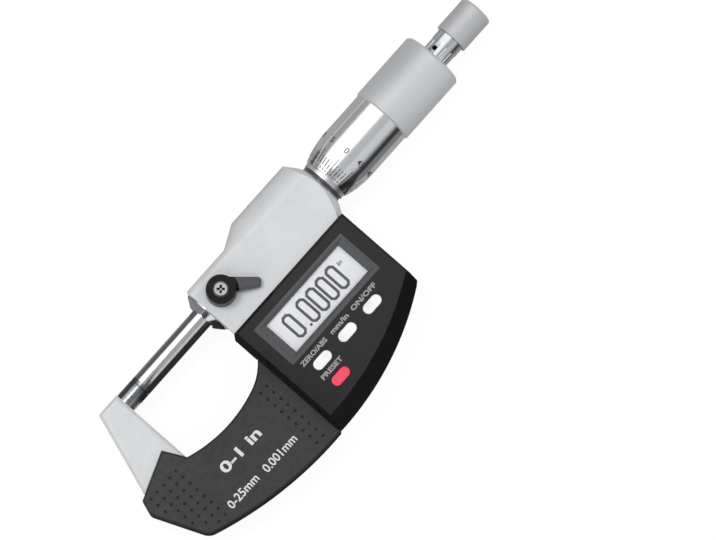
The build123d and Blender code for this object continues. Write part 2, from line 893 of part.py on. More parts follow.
def make_ratchet_ring():
    """Toothed ring that a spring holds against the crown."""
    outer = knob_bore_radius - 2 * running_clearance
    inner = ratchet_post_radius + 2 * tooth_clearance
    ring_solid = ring(driven_x, driven_end_x, outer, inner)
    key_depth_here = spline_depth - running_clearance
    for bar in spline_bars(key_depth_here, spline_width - 2 * running_clearance, driven_x, driven_end_x):
        ring_solid += bar - rod(driven_x, driven_end_x, inner)
    tooth_outer = knob_bore_radius - 2 * running_clearance
    limits = ring(driven_x - tooth_depth, driven_x, tooth_outer, inner)
    narrow = tooth_base - 2 * tooth_clearance
    short = tooth_depth - tooth_clearance
    for tooth in teeth(narrow, short):
        ring_solid += (Pos(driven_x, 0, 0) * mirror(tooth, Plane.YZ)) & limits
    return ring_solid


def make_ratchet_spring():
    """Coil spring between the driven ring and the end of the knob."""
    length = knob_bore_end_x - driven_end_x - 2 * spring_wire_radius
    path = Helix(pitch=length / spring_turns, height=length, radius=spring_radius)
    start = Plane(origin=path @ 0, z_dir=path % 0)
    wire = sweep(start * RegularPolygon(spring_wire_radius, 6), path, is_frenet=True)
    return Pos(driven_end_x + spring_wire_radius, 0, 0) * Rot(0, 90, 0) * wire


def make_ratchet_knob():
    """Domed cap that turns on the crown and carries the driven ring round in four grooves."""
    dome_x = knob_end_x - knob_dome
    edge = [
        Line((knob_x, knob_bore_radius), (knob_x, knob_radius)),
        Line((knob_x, knob_radius), (dome_x, knob_radius)),
        RadiusArc((dome_x, knob_radius), (knob_end_x, knob_radius - knob_dome), knob_dome),
        Line((knob_end_x, knob_radius - knob_dome), (knob_end_x, 0)),
        Line((knob_end_x, 0), (knob_bore_end_x, 0)),
        Line((knob_bore_end_x, 0), (knob_bore_end_x, knob_bore_radius)),
        Line((knob_bore_end_x, knob_bore_radius), (knob_x, knob_bore_radius)),
    ]
    knob = revolve(make_face(edge), Axis.X)
    for bar in spline_bars(spline_depth, spline_width, driven_x - tooth_depth, knob_bore_end_x):
        knob -= bar
    return knob


def make_knob_retainer():
    """Spring ring in the knob's mouth that keeps the knob behind the crown."""
    x = knob_x + knob_front_gap
    inner = ratchet_waist_radius + 2 * tooth_clearance
    return ring(x, x + retainer_thickness, knob_bore_radius, inner)


# Lock


def make_lock_lever():
    """Hub with a slight draft and an arm along one side of it that points down to the right."""
    hub = Pos(0, 0, lock_hub_height / 2) * Cone(
        lock_hub_radius, lock_hub_radius - lock_hub_taper, lock_hub_height
    )
    arm_outline = make_face(
        Polyline(
            (0, lever_side - lever_root_width),
            (lever_reach, lever_side - lever_tip_width),
            (lever_reach, lever_side),
            (0, lever_side),
            close=True,
        )
    )
    tip_corners = arm_outline.vertices().sort_by(Axis.X)[-2:]
    arm = slab(fillet(tip_corners, lever_tip_radius), 0, lever_root_height)
    side_view = Polyline(
        (0, lever_root_height),
        (lock_hub_radius, lever_root_height),
        (lever_reach, lever_tip_height),
        (2 * lever_reach, lever_tip_height),
        (2 * lever_reach, 2 * lever_root_height),
        (0, 2 * lever_root_height),
        close=True,
    )
    arm -= extrude(Plane.XZ * make_face(side_view), lever_reach, both=True)
    slope = arm.faces().filter_by(lambda face: 0.5 < face.normal_at().Z < 0.999)
    long_edges = slope.edges().sort_by(SortBy.LENGTH)[-2:]
    arm = chamfer(long_edges, lever_edge_chamfer)
    lever = hub + arm
    lever = Pos(lock_x, 0, lock_base_z) * Rot(0, 0, lever_angle) * lever
    drive = lock_drive_size + 2 * seat_clearance
    lever -= Pos(lock_x, 0, 0) * block(-drive / 2, drive / 2, -drive / 2, drive / 2, 0, drive_top_z())
    seat_z = lock_top_z - lock_screw_head_height / 3
    lever -= post(lock_x, 0, seat_z, lock_top_z + 1, lock_screw_head_radius + seat_clearance)
    return lever - post(lock_x, 0, 0, lock_top_z, lock_screw_radius + 2 * seat_clearance)


def drive_top_z():
    """Top of the square on the lock shaft that turns with the lever."""
    return lock_top_z - lock_screw_head_height - 1


def make_lock_shaft():
    """Threaded shaft in the frame: a square for the lever above, a short pusher below."""
    shaft = post(lock_x, 0, bush_radius + cover_gap, body_half, lock_shaft_radius)
    shaft += post(lock_x, 0, slug_top_z, bush_radius + cover_gap, slug_radius)
    half = lock_drive_size / 2
    top = drive_top_z() - seat_clearance
    shaft += Pos(lock_x, 0, 0) * block(-half, half, -half, half, body_half, top)
    hole_z = lock_top_z - lock_screw_length
    return shaft - post(lock_x, 0, hole_z, top + 1, lock_screw_radius + seat_clearance)


def make_lock_screw():
    """Domed cross-head screw that holds the lever down."""
    head_z = lock_top_z - lock_screw_head_height / 3
    head = post(lock_x, 0, head_z, head_z + lock_screw_head_height, lock_screw_head_radius)
    head = chamfer(head.edges().sort_by(Axis.Z)[-1:], lock_screw_head_height / 2)
    screw = head + post(lock_x, 0, lock_top_z - lock_screw_length, head_z, lock_screw_radius)
    arm = lock_screw_head_radius * cross_reach_share
    half = cross_width / 2
    top = head_z + lock_screw_head_height
    for angle in (cross_angle, cross_angle + 90):
        bar = block(-arm, arm, -half, half, top - cross_depth, top + 1)
        screw -= Pos(lock_x, 0, 0) * Rot(0, 0, angle) * bar
    return screw


def make_clamp_slug():
    return post(lock_x, 0, slug_z, slug_top_z, slug_radius)


# Display housing and what it holds


def button_places():
    """Front-view centres of the three pale buttons and the red one below the first."""
    row = [(button_first_x + number * button_pitch, button_row_y) for number in range(3)]
    return row + [(button_first_x, red_button_y)]


def oblong(size, amount=0):
    """A button's outline with fully rounded ends, grown by an amount on every side."""
    width, height = grown(size, amount)
    return RectangleRounded(width, height, height / 2 - 0.01)


def make_housing():
    """Moulded shell with a wide bevel along its curved underside, open towards the plate."""
    shell = bevelled(0, housing_front_z)
    shell = chamfer(front_rim(shell), housing_edge_chamfer)
    shell -= bevelled(-housing_wall, housing_inner_z)
    shell -= rib_notches()
    for x, y in housing_screw_places():
        shell += post(x, y, rib_top_z, housing_inner_z, housing_post_radius)
        screw_hole_radius = housing_screw_radius + seat_clearance
        shell -= post(x, y, rib_top_z - 1, rib_top_z + housing_screw_reach, screw_hole_radius)
    for x, y in board_screw_places:
        shell += post(x, y, board_top_z, housing_inner_z, board_post_radius)
        shell -= post(x, y, board_z, board_top_z + board_screw_length, board_screw_radius + seat_clearance)
    opening = grown(bezel_size, seat_clearance)
    shell -= plate(bezel_centre, opening, window_z, housing_front_z + 1)
    for x, y in button_places():
        hole = Pos(x, y) * oblong(button_size, button_side_gap)
        shell -= slab(hole, housing_inner_z - 1, housing_front_z + 1)
    return shell


def rib_notches():
    """Room in the walls for the bow, and for the rib's joint with the spindle housing."""
    inner = housing_left_x + rib_inset
    bow_span = (housing_left_y + rib_inset - cover_gap, throat_rise_end_y + cover_gap)
    for_bow = block(housing_left_x - 1, inner, *bow_span, plate_top_z - 1, bow_half + cover_gap)
    low, high = rib_joint_span()
    joint_y = (housing_top_y - rib_inset, housing_top_y + 1)
    return for_bow + block(
        low - cover_gap, high + cover_gap, *joint_y, plate_top_z - 1, rib_top_z + cover_gap
    )


def bevelled(growth, top_z):
    """The housing's outline, grown, as a block with its lower front edge cut back."""
    bevel_z = top_z - bevel_depth
    low_outline = housing_outline()
    high_outline = housing_outline(bevel_width)
    if growth:
        low_outline = offset(low_outline, growth)
        high_outline = offset(high_outline, growth)
    sections = [Pos(0, 0, bevel_z) * low_outline, Pos(0, 0, top_z) * high_outline]
    return slab(low_outline, plate_top_z, bevel_z) + loft(sections, ruled=True)


def front_rim(solid):
    """Straight edges round the front face of the housing."""
    front = solid.faces().sort_by(Axis.Z)[-1]
    return front.edges().filter_by(GeomType.LINE)


def make_bezel():
    """Frame round the display, sloping down to the window, with a tab above and below."""
    back_z = housing_inner_z - bezel_tab_thickness
    bezel = plate(bezel_centre, bezel_size, window_z, bezel_front_z)
    tab_size = (bezel_tab_width, bezel_size[1] + 2 * bezel_tab_depth)
    bezel += plate(bezel_centre, tab_size, back_z, housing_inner_z)
    mouth = plate(window_centre, bezel_mouth_size, bezel_front_z, bezel_front_z + 1)
    bottom_outline = Pos(window_centre[0], window_centre[1], window_top_z) * Rectangle(*window_view_size)
    top_outline = Pos(window_centre[0], window_centre[1], bezel_front_z) * Rectangle(*bezel_mouth_size)
    funnel = loft([bottom_outline, top_outline], ruled=True)
    pocket_size = grown(window_view_size, window_lip + seat_clearance)
    pocket = plate(window_centre, pocket_size, window_z, window_top_z)
    behind = plate(window_centre, grown(window_view_size, window_lip + seat_clearance), back_z - 1, window_z)
    return bezel - mouth - funnel - pocket - behind


def make_window():
    return plate(window_centre, grown(window_view_size, window_lip), window_z, window_top_z)


def lcd_size():
    return (window_view_size[0] + 2 * lcd_border[0], window_view_size[1] + 2 * lcd_border[1])


def make_lcd():
    """Liquid crystal cell: a wide rear glass and a slightly smaller front glass."""
    size = lcd_size()
    rear = plate(window_centre, size, lcd_z, lcd_z + lcd_thickness / 2)
    front_size = (size[0], size[1] - 2 * zebra_width / 2)
    return rear + plate(window_centre, front_size, lcd_z + lcd_thickness / 2, window_z)


def make_zebra_strips():
    """Two elastic contact strips from the circuit board to the display glass."""
    width, height = lcd_size()
    x, y = window_centre
    strips = []
    for side in (-1, 1):
        centre = (x, y + side * (height - zebra_width) / 2)
        strips.append(plate(centre, (width - 2, zebra_width), board_top_z, lcd_z))
    return Compound(children=strips)


def make_board():
    """Circuit board cut back round the housing posts, with its chip and cable socket."""
    inner = offset(housing_outline(), -housing_wall - board_edge_gap)
    board = slab(inner, board_z, board_top_z)
    post_room = housing_screw_inset - housing_wall - board_edge_gap + cover_gap
    for place in housing_screw_places():
        board -= plate(place, (2 * post_room, 2 * post_room), board_z - 1, board_top_z + 1)
    for x, y in board_screw_places:
        board -= post(x, y, board_z - 1, board_top_z + 1, board_screw_radius + seat_clearance)
    chip = (battery_centre[0] - 2 * battery_radius, battery_centre[1])
    board += plate(chip, (battery_radius, battery_radius), board_z - 1, board_z)
    return board


def make_board_screws():
    screws = []
    for x, y in board_screw_places:
        head = post(x, y, board_z - board_screw_head_height, board_z, board_screw_head_radius)
        shank = post(x, y, board_z, board_z + board_screw_length, board_screw_radius)
        screws.append(head + shank)
    return Compound(children=screws)


def make_keypad():
    """Rubber sheet on the board with one raised dome under each button."""
    xs = [x for x, y in button_places()]
    half_width = button_size[0] / 2 + keypad_margin
    half_height = button_size[1] / 2 + keypad_margin
    low_z = board_top_z
    high_z = low_z + keypad_sheet
    sheet = block(
        min(xs) - half_width, max(xs) + half_width,
        button_row_y - half_height, button_row_y + half_height,
        low_z, high_z,
    )
    sheet += block(
        min(xs) - half_width, min(xs) + half_width,
        red_button_y - half_height, button_row_y,
        low_z, high_z,
    )
    for x, y in board_screw_places:
        sheet -= post(x, y, low_z, high_z, board_post_radius + cover_gap)
    for x, y in button_places():
        height = button_foot_z() - high_z
        sheet += Pos(x, y, high_z + height / 2) * Cone(dome_radius + height / 4, dome_radius, height)
    return sheet


def button_foot_z():
    """Underside of a button's flange, which the keypad's dome carries."""
    return housing_inner_z - seat_clearance - button_flange_thickness


def make_button(x, y):
    """Oblong cap with a rounded top edge, held behind the housing by a flange."""
    top_z = housing_front_z + button_proud
    cap = slab(Pos(x, y) * oblong(button_size), button_foot_z(), top_z)
    cap = fillet(cap.faces().sort_by(Axis.Z)[-1].edges(), button_proud / 2)
    flange = Pos(x, y) * oblong(button_size, button_flange)
    return cap + slab(flange, button_foot_z(), button_foot_z() + button_flange_thickness)


# Battery


def make_battery():
    """Button cell: the narrower cap of its negative side faces the board."""
    x, y = battery_centre
    shoulder_z = battery_top_z - battery_height / 5
    can = post(x, y, battery_z, shoulder_z, battery_radius)
    return can + post(x, y, shoulder_z, battery_top_z, battery_radius - holder_wall)


def make_battery_holder():
    """Plastic collar that keeps the cell off the metal, with a flange on the plate."""
    x, y = battery_centre
    outer = battery_radius + holder_wall + seat_clearance
    top_z = battery_top_z - holder_wall
    collar = post(x, y, battery_z, top_z, outer)
    collar += post(x, y, plate_top_z, plate_top_z + holder_flange_thickness, outer + holder_flange)
    return collar - post(x, y, battery_z - 1, top_z + 1, battery_radius + seat_clearance)


def make_battery_contact():
    """Bent leaf spring from the circuit board down onto the cell."""
    x, y = battery_centre
    half = contact_width / 2
    leg_y = y + battery_radius - holder_wall
    leaf = block(x - half, x + half, y - half, leg_y, battery_top_z, battery_top_z + contact_thickness)
    leg = block(x - half, x + half, leg_y - contact_thickness, leg_y, battery_top_z, board_z)
    foot_z = board_z - contact_thickness
    foot = block(x - half, x + half, leg_y - contact_thickness, leg_y + half, foot_z, board_z)
    return leaf + leg + foot


def make_battery_cap():
    """Coin-slot cap with a plug, a seal groove and two bayonet lugs."""
    x, y = battery_centre
    cap = post(x, y, plate_back_z, battery_cap_z, cap_radius)
    cap += post(x, y, battery_cap_z, battery_cap_z + cap_plug_length, cap_plug_radius)
    half_slot = coin_slot_width / 2
    half_length = coin_slot_length / 2
    cap -= block(
        x - half_length, x + half_length, y - half_slot, y + half_slot,
        plate_back_z - 1, plate_back_z + coin_slot_depth,
    )
    groove_z = battery_cap_z + cap_seal_section
    groove_inner = cap_plug_radius - 2 * cap_seal_section
    groove = post(x, y, battery_cap_z, groove_z + cap_seal_section, cap_plug_radius)
    cap -= groove - post(x, y, battery_cap_z, groove_z + cap_seal_section, groove_inner)
    reach = cap_plug_radius + lug_length
    low = battery_cap_z + lug_lift()
    lug = block(-reach, reach, -lug_width / 2, lug_width / 2, low, low + lug_thickness)
    lug &= post(0, 0, low, low + lug_thickness, reach)
    return cap + Pos(x, y, 0) * lug


def make_cap_seal():
    """Rubber ring in the groove of the battery cap."""
    x, y = battery_centre
    z = battery_cap_z + cap_seal_section
    major = cap_plug_radius - cap_seal_section
    return Pos(x, y, z) * Torus(major, cap_seal_section - seat_clearance / 2)


# Grip covers


def dimple_places():
    """Square grids of dimples at both ends of the cover, clear of its edges."""
    places = []
    fields = (
        (left_field_corner, left_field_columns, dimple_rows),
        (right_field_corner, right_field_columns, right_field_rows),
    )
    for corner, columns, rows in fields:
        for column in range(columns):
            for row in range(rows):
                places.append((corner[0] + column * dimple_pitch, corner[1] + row * dimple_pitch))
    safe = offset(grip_outline(), -dimple_margin).faces()
    return [(x, y) for x, y in places if any(face.is_inside((x, y, 0)) for face in safe)]


def grip_shell():
    """One half cover, front side: a face plate and a rim down to the parting line."""
    outline = grip_outline()
    cover = slab(outline, bow_half, grip_z)
    cover = chamfer(cover.faces().sort_by(Axis.Z)[-1].edges(), grip_edge_chamfer)
    rim = outline - offset(bow_outline(), seat_clearance)
    return cover + slab(rim, seat_clearance, bow_half)


def dimples():
    return [
        Pos(x, y, grip_z - dimple_depth / 2) * Cone(dimple_radius / 3, dimple_radius, dimple_depth)
        for x, y in dimple_places()
    ]


def make_grip_front():
    cover = grip_shell()
    for x, y in grip_screw_places:
        cover += post(x, y, seat_clearance, bow_half, 2 * grip_screw_radius)
        cover -= post(x, y, 0, bow_half, grip_screw_radius + seat_clearance)
    return cover - dimples()


def make_grip_back():
    cover = mirror(grip_shell(), Plane.XY)
    for x, y in grip_screw_places:
        cover -= post(x, y, -grip_z, -bow_half, grip_screw_radius + seat_clearance)
        cover -= countersink(x, y, -grip_z, grip_screw_head_radius, grip_screw_head_height)
    return cover


# Screws that are driven from the back


def flush_screw(x, y, z, head_radius, head_height, radius, end_z):
    head = Pos(x, y, z + head_height / 2) * Cone(head_radius, head_radius / 2, head_height)
    screw = head + post(x, y, z + head_height, end_z, radius)
    half = radius / 3
    for angle in (0, 90):
        slot = block(-radius, radius, -half, half, z - 1, z + head_height / 2)
        screw -= Pos(x, y, 0) * Rot(0, 0, angle) * slot
    return screw


def make_grip_screws():
    end_z = bow_half - seat_clearance
    return Compound(
        children=[
            flush_screw(
                x, y, -grip_z, grip_screw_head_radius, grip_screw_head_height, grip_screw_radius, end_z
            )
            for x, y in grip_screw_places
        ]
    )


def make_housing_screws():
    end_z = rib_top_z + housing_screw_reach - 1
    return Compound(
        children=[
            flush_screw(
                x, y, plate_back_z, housing_screw_head_radius, housing_screw_head_height,
                housing_screw_radius, end_z,
            )
            for x, y in housing_screw_places()
        ]
    )


def build_parts():
    white_1, white_2, white_3, red = button_places()
    return {
        "frame": make_frame(),
        "anvil": make_anvil(),
        "anvil_tip": measuring_tip(0, -1),
        "spindle": make_spindle(),
        "spindle_tip": measuring_tip(0, 1),
        "guide_bush": make_guide_bush(),
        "rotor_bush": make_rotor_bush(),
        "rotor_key": key_pin(key_radius),
        "rotor_disc": make_rotor_disc(),
        "stator_disc": make_stator_disc(),
        "stator_holder": make_stator_holder(),
        "stator_cable": make_stator_cable(),
        "inner_sleeve": make_inner_sleeve(),
        "sleeve_seal": make_sleeve_seal(),
        "scale_sleeve": make_scale_sleeve(),
        "adjusting_nut": make_adjusting_nut(),
        "thimble": make_thimble(),
        "ratchet_body": make_ratchet_body(),
        "ratchet_ring": make_ratchet_ring(),
        "ratchet_spring": make_ratchet_spring(),
        "ratchet_knob": make_ratchet_knob(),
        "knob_retainer": make_knob_retainer(),
        "lock_lever": make_lock_lever(),
        "lock_shaft": make_lock_shaft(),
        "lock_screw": make_lock_screw(),
        "clamp_slug": make_clamp_slug(),
        "display_housing": make_housing(),
        "display_bezel": make_bezel(),
        "display_window": make_window(),
        "lcd": make_lcd(),
        "zebra_strips": make_zebra_strips(),
        "circuit_board": make_board(),
        "board_screws": make_board_screws(),
        "keypad": make_keypad(),
        "button_1": make_button(*white_1),
        "button_2": make_button(*white_2),
        "button_3": make_button(*white_3),
        "button_red": make_button(*red),
        "battery": make_battery(),
        "battery_holder": make_battery_holder(),
        "battery_contact": make_battery_contact(),
        "battery_cap": make_battery_cap(),
        "cap_seal": make_cap_seal(),
        "grip_cover_front": make_grip_front(),
        "grip_cover_back": make_grip_back(),
        "grip_screws": make_grip_screws(),
        "housing_screws": make_housing_screws(),
    }


os.makedirs("parts", exist_ok=True)
for name, solid in build_parts().items():
    export_step(solid, f"parts/{name}.step")
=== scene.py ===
"""Looks of the digital outside micrometer: materials, print, graduations, camera and light.

Lengths are in metres in the row frame: +X along the spindle, +Y away from the bow, +Z out of the face.
Names that end in _mm, and the tables that say so, are in millimetres.
"""

import json
import math

import bmesh
import bpy
from mathutils import Matrix, Vector


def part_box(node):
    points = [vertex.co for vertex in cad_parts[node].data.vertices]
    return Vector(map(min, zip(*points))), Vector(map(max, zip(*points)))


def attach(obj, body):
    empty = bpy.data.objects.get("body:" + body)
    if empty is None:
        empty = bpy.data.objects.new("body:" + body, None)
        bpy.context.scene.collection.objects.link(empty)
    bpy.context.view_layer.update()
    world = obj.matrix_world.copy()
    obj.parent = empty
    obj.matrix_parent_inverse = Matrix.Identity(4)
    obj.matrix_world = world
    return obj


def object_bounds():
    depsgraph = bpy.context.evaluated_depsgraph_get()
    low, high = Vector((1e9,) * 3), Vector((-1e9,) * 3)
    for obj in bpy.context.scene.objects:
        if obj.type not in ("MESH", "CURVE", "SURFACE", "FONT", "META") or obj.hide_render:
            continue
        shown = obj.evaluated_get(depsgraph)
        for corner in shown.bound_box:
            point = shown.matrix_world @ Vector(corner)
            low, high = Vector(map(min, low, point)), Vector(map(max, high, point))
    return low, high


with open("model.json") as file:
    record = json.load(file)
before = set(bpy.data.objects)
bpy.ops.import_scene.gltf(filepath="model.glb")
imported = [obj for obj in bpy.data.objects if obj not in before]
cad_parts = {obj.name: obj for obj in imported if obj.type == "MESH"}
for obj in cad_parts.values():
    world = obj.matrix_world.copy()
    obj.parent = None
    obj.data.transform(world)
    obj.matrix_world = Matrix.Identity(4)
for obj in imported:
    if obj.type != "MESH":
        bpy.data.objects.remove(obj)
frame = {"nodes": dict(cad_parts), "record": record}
cad_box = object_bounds()
nodes = frame["nodes"]
record = frame["record"]
scene = bpy.context.scene
MM = 0.001

# Camera at the photograph's viewing angle

CAMERA_TARGET = Vector((66.33, -24.23, 0.0)) * MM
CAMERA_DISTANCE = 1.5
CAMERA_ELEVATION = math.radians(82.2)
IMAGE_UP_AZIMUTH = math.radians(41.37)
SENSOR_WIDTH = 36.0
CAMERA_LENS = 264.5
CLIP_START, CLIP_END = 0.1, 10


def make_camera():
    up_flat = Vector((math.cos(IMAGE_UP_AZIMUTH), math.sin(IMAGE_UP_AZIMUTH), 0))
    right = Vector((math.sin(IMAGE_UP_AZIMUTH), -math.cos(IMAGE_UP_AZIMUTH), 0))
    forward = up_flat * math.cos(CAMERA_ELEVATION) + Vector((0, 0, -math.sin(CAMERA_ELEVATION)))
    up = right.cross(forward)
    data = bpy.data.cameras.new("camera")
    data.lens = CAMERA_LENS
    data.sensor_width = SENSOR_WIDTH
    data.clip_start = CLIP_START
    data.clip_end = CLIP_END
    camera = bpy.data.objects.new("camera", data)
    scene.collection.objects.link(camera)
    turn = Matrix((right, up, -forward)).transposed().to_4x4()
    camera.matrix_world = Matrix.Translation(CAMERA_TARGET - forward * CAMERA_DISTANCE) @ turn
    scene.camera = camera


# Node helpers

WHITE = (1, 1, 1, 1)
NOISE_STOPS = (0.3, 0.7)
MASK_STOPS = (0.4, 0.6)


def linear(colour):
    """sRGB 0 to 255 as the linear colour that a shader socket takes."""
    out = []
    for value in colour:
        c = value / 255
        out.append(c / 12.92 if c <= 0.04045 else ((c + 0.055) / 1.055) ** 2.4)
    return (*out, 1.0)


def add_node(tree, kind, inputs, **settings):
    """A node with its settings, and with its inputs linked to sockets or set to values."""
    made = tree.nodes.new(kind)
    for key, value in settings.items():
        setattr(made, key, value)
    for key, value in inputs.items():
        if isinstance(value, bpy.types.NodeSocket):
            tree.links.new(value, made.inputs[key])
        else:
            made.inputs[key].default_value = value
    return made


def add_math(tree, operation, *values):
    inputs = dict(enumerate(values))
    return add_node(tree, "ShaderNodeMath", inputs, operation=operation).outputs["Value"]


def add_ramp(tree, fac, stops):
    """Colours or greys along fac, from (place, colour) stops."""
    made = add_node(tree, "ShaderNodeValToRGB", {"Fac": fac})
    marks = made.color_ramp.elements
    while len(marks) < len(stops):
        marks.new(0.5)
    for mark, (place, colour) in zip(marks, stops):
        mark.position = place
        mark.color = colour if isinstance(colour, tuple) else (colour, colour, colour, 1)
    return made.outputs["Color"]


def add_axes(tree, place):
    """The X, Y and Z sockets of a place."""
    return add_node(tree, "ShaderNodeSeparateXYZ", {"Vector": place}).outputs


def add_mix(tree, share, first, second, **settings):
    """The first value where share is 0, and the second where it is 1."""
    inputs = {"Factor": share, "A": first, "B": second}
    return add_node(tree, "ShaderNodeMix", inputs, **settings).outputs["Result"]


def add_shader_mix(tree, share, first, second):
    """The first shader where share is 0, and the second where it is 1."""
    return add_node(tree, "ShaderNodeMixShader", {0: share, 1: first, 2: second}).outputs[0]


class Surface:
    """A Principled material, and the patterns in object space that the pieces share."""

    def __init__(self, name, colour, roughness, metallic=0.0, specular=0.5):
        self.material = bpy.data.materials.new(name)
        self.material.use_nodes = True
        self.tree = self.material.node_tree
        self.shader = self.tree.nodes["Principled BSDF"]
        self.colour = linear(colour)
        self.set("Base Color", self.colour)
        self.set("Roughness", roughness)
        self.set("Metallic", metallic)
        self.set("Specular IOR Level", specular)
        self.place = add_node(self.tree, "ShaderNodeTexCoord", {}).outputs["Object"]
        self.normal = None

    def set(self, name, value):
        self.shader.inputs[name].default_value = value

    def feed(self, name, socket):
        self.tree.links.new(socket, self.shader.inputs[name])

    # Values

    def math(self, operation, *values):
        return add_math(self.tree, operation, *values)

    def axes(self):
        return add_axes(self.tree, self.place)

    def noise(self, size_mm, detail=2.0, stretch=(1, 1, 1)):
        """Noise whose blotches are about size_mm across, drawn out along the axes given."""
        scale = [1 / (size_mm * MM * s) for s in stretch]
        mapping = add_node(self.tree, "ShaderNodeMapping", {"Scale": scale, "Vector": self.place})
        inputs = {"Scale": 1.0, "Detail": detail, "Vector": mapping.outputs["Vector"]}
        return add_node(self.tree, "ShaderNodeTexNoise", inputs).outputs["Fac"]

    def along(self, axis, pitch_mm):
        """Sawtooth 0 to 1 that repeats every pitch along an axis."""
        return self.math("FRACT", self.math("MULTIPLY", self.axes()[axis], 1 / (pitch_mm * MM)))

    def axis_angle(self, turns):
        """Sawtooth 0 to 1 that repeats turns times round the spindle axis."""
        axes = self.axes()
        angle = self.math("ARCTAN2", axes["Y"], axes["Z"])
        return self.math("FRACT", self.math("MULTIPLY", angle, turns / (2 * math.pi)))

    def ridge(self, saw):
        """Triangle wave from a sawtooth."""
        return self.math("ABSOLUTE", self.math("SUBTRACT", saw, 0.5))

    # Masks

    def from_middle(self, level, span_mm):
        """Distance from the middle of a span, where level is the socket of its axis."""
        return self.math("ABSOLUTE", self.math("SUBTRACT", level, sum(span_mm) / 2 * MM))

    def within(self, spans_mm):
        """1 inside the box that has these spans along X, Y and Z."""
        axes = self.axes()
        inside = None
        for axis, (low, high) in zip("XYZ", spans_mm):
            away = self.from_middle(axes[axis], (low, high))
            near = self.math("LESS_THAN", away, (high - low) / 2 * MM)
            inside = near if inside is None else self.math("MULTIPLY", inside, near)
        return inside

    def outside(self, spans_mm):
        """1 outside the rectangle that has these spans along X and Y."""
        axes = self.axes()
        outside = None
        for axis, (low, high) in zip("XY", spans_mm):
            away = self.from_middle(axes[axis], (low, high))
            beyond = self.math("GREATER_THAN", away, (high - low) / 2 * MM)
            outside = beyond if outside is None else self.math("MAXIMUM", outside, beyond)
        return outside

    def recess(self, depth_mm, centre_mm, reach_mm, start_mm=0.0):
        """1 between two radii, from start to reach, and behind a depth.

        With a centre it is round that point of the face, and below Z = depth. With None it is round
        the spindle axis, and beyond X = depth.
        """
        axes = self.axes()
        if centre_mm is None:
            first, second = axes["Y"], axes["Z"]
            behind = self.math("GREATER_THAN", axes["X"], depth_mm * MM)
        else:
            first = self.math("SUBTRACT", axes["X"], centre_mm[0] * MM)
            second = self.math("SUBTRACT", axes["Y"], centre_mm[1] * MM)
            behind = self.math("LESS_THAN", axes["Z"], depth_mm * MM)
        first_square = self.math("MULTIPLY", first, first)
        square = self.math("ADD", first_square, self.math("MULTIPLY", second, second))
        near = self.math("LESS_THAN", square, (reach_mm * MM) ** 2)
        far = self.math("GREATER_THAN", square, (start_mm * MM) ** 2)
        return self.math("MULTIPLY", self.math("MULTIPLY", behind, near), far)

    # Looks from values and masks

    def shade(self, share):
        """The base colour times a share."""
        return tuple(min(1, c * share) for c in self.colour[:3]) + (1,)

    def wander(self, fac, low, high):
        """Colour or grey between low and high as noise goes from low to high."""
        return add_ramp(self.tree, fac, tuple(zip(NOISE_STOPS, (low, high))))

    def pick(self, mask, plain, masked):
        """Colour or grey that is masked where the mask is 1, and plain elsewhere."""
        return add_ramp(self.tree, mask, tuple(zip(MASK_STOPS, (plain, masked))))

    def tint(self, fac, darker, lighter):
        """Base colour wanders between shares of itself."""
        self.feed("Base Color", self.wander(fac, self.shade(darker), self.shade(lighter)))

    def rough(self, fac, low, high):
        self.feed("Roughness", self.wander(fac, low, high))

    def paint(self, mask, colour):
        """Base colour is that linear colour where the mask is 1."""
        self.feed("Base Color", self.pick(mask, self.colour, colour))

    def bump(self, height, depth_mm):
        """Adds a relief of that depth on top of the reliefs made before."""
        made = add_node(self.tree, "ShaderNodeBump", {"Distance": depth_mm * MM, "Height": height})
        if self.normal is not None:
            self.tree.links.new(self.normal, made.inputs["Normal"])
        self.normal = made.outputs["Normal"]
        self.feed("Normal", self.normal)


# Materials, with their places in millimetres

WINDOW_VIEW = ((36.35, 67.15), (-27.35, -16.05))
BEZEL_SLOPE_Z = 9.54
THIMBLE_GRIP_X = 103.9
LOCK_PLACE = (35.2, 0.0)
LOCK_HUB_REACH = 5.2
ABOVE_LOCK_Z = 20
# Box in the seam between grip cover and display housing where the enamel gets painted shade
COVER_SEAM = ((27.8, 29.0), (-51.5, -19.0), (3.1, 3.4))
# Share of the base colour kept in recesses with painted shade, and on the darker hub of the lock lever
RECESS_SHADE_AND_HUB_SHARE = 0.03


def cast_enamel(name, colour):
    """Enamel, with painted shade as a dark line in the seam between grip cover and display housing."""
    surface = Surface(name, colour, 0.3)
    surface.tint(surface.noise(9, 3), 0.95, 1.03)
    coloured = surface.shader.inputs["Base Color"].links[0].from_socket
    # Painted shade: the enamel in the seam is nearly black
    seam = surface.within(COVER_SEAM)
    seam_shade = linear((16, 16, 17))
    surface.feed("Base Color", add_mix(surface.tree, seam, coloured, seam_shade, data_type="RGBA"))
    surface.rough(surface.noise(2.5, 3), 0.22, 0.36)
    surface.bump(surface.noise(0.7, 2), 0.02)
    surface.bump(surface.noise(0.22, 1), 0.006)
    surface.set("Coat Weight", 0.15)
    surface.set("Coat Roughness", 0.3)
    return surface.material


def turned_metal(name, colour, roughness, depth, groove):
    """Metal with fine lines round the spindle axis."""
    surface = Surface(name, colour, roughness, metallic=1.0)
    lines = surface.noise(groove, 2, (1, 60, 60))
    surface.tint(surface.noise(groove * 6, 2, (1, 30, 30)), 0.93, 1.05)
    surface.rough(surface.noise(1.8, 3, (0.6, 2, 2)), roughness * 0.75, roughness * 1.3)
    surface.bump(lines, depth)
    return surface.material


def plain_metal(name, colour, roughness, depth=0.004):
    surface = Surface(name, colour, roughness, metallic=1.0)
    surface.tint(surface.noise(1.2, 3), 0.92, 1.05)
    surface.rough(surface.noise(0.9, 3), roughness * 0.75, roughness * 1.35)
    surface.bump(surface.noise(0.35, 3), depth)
    return surface.material


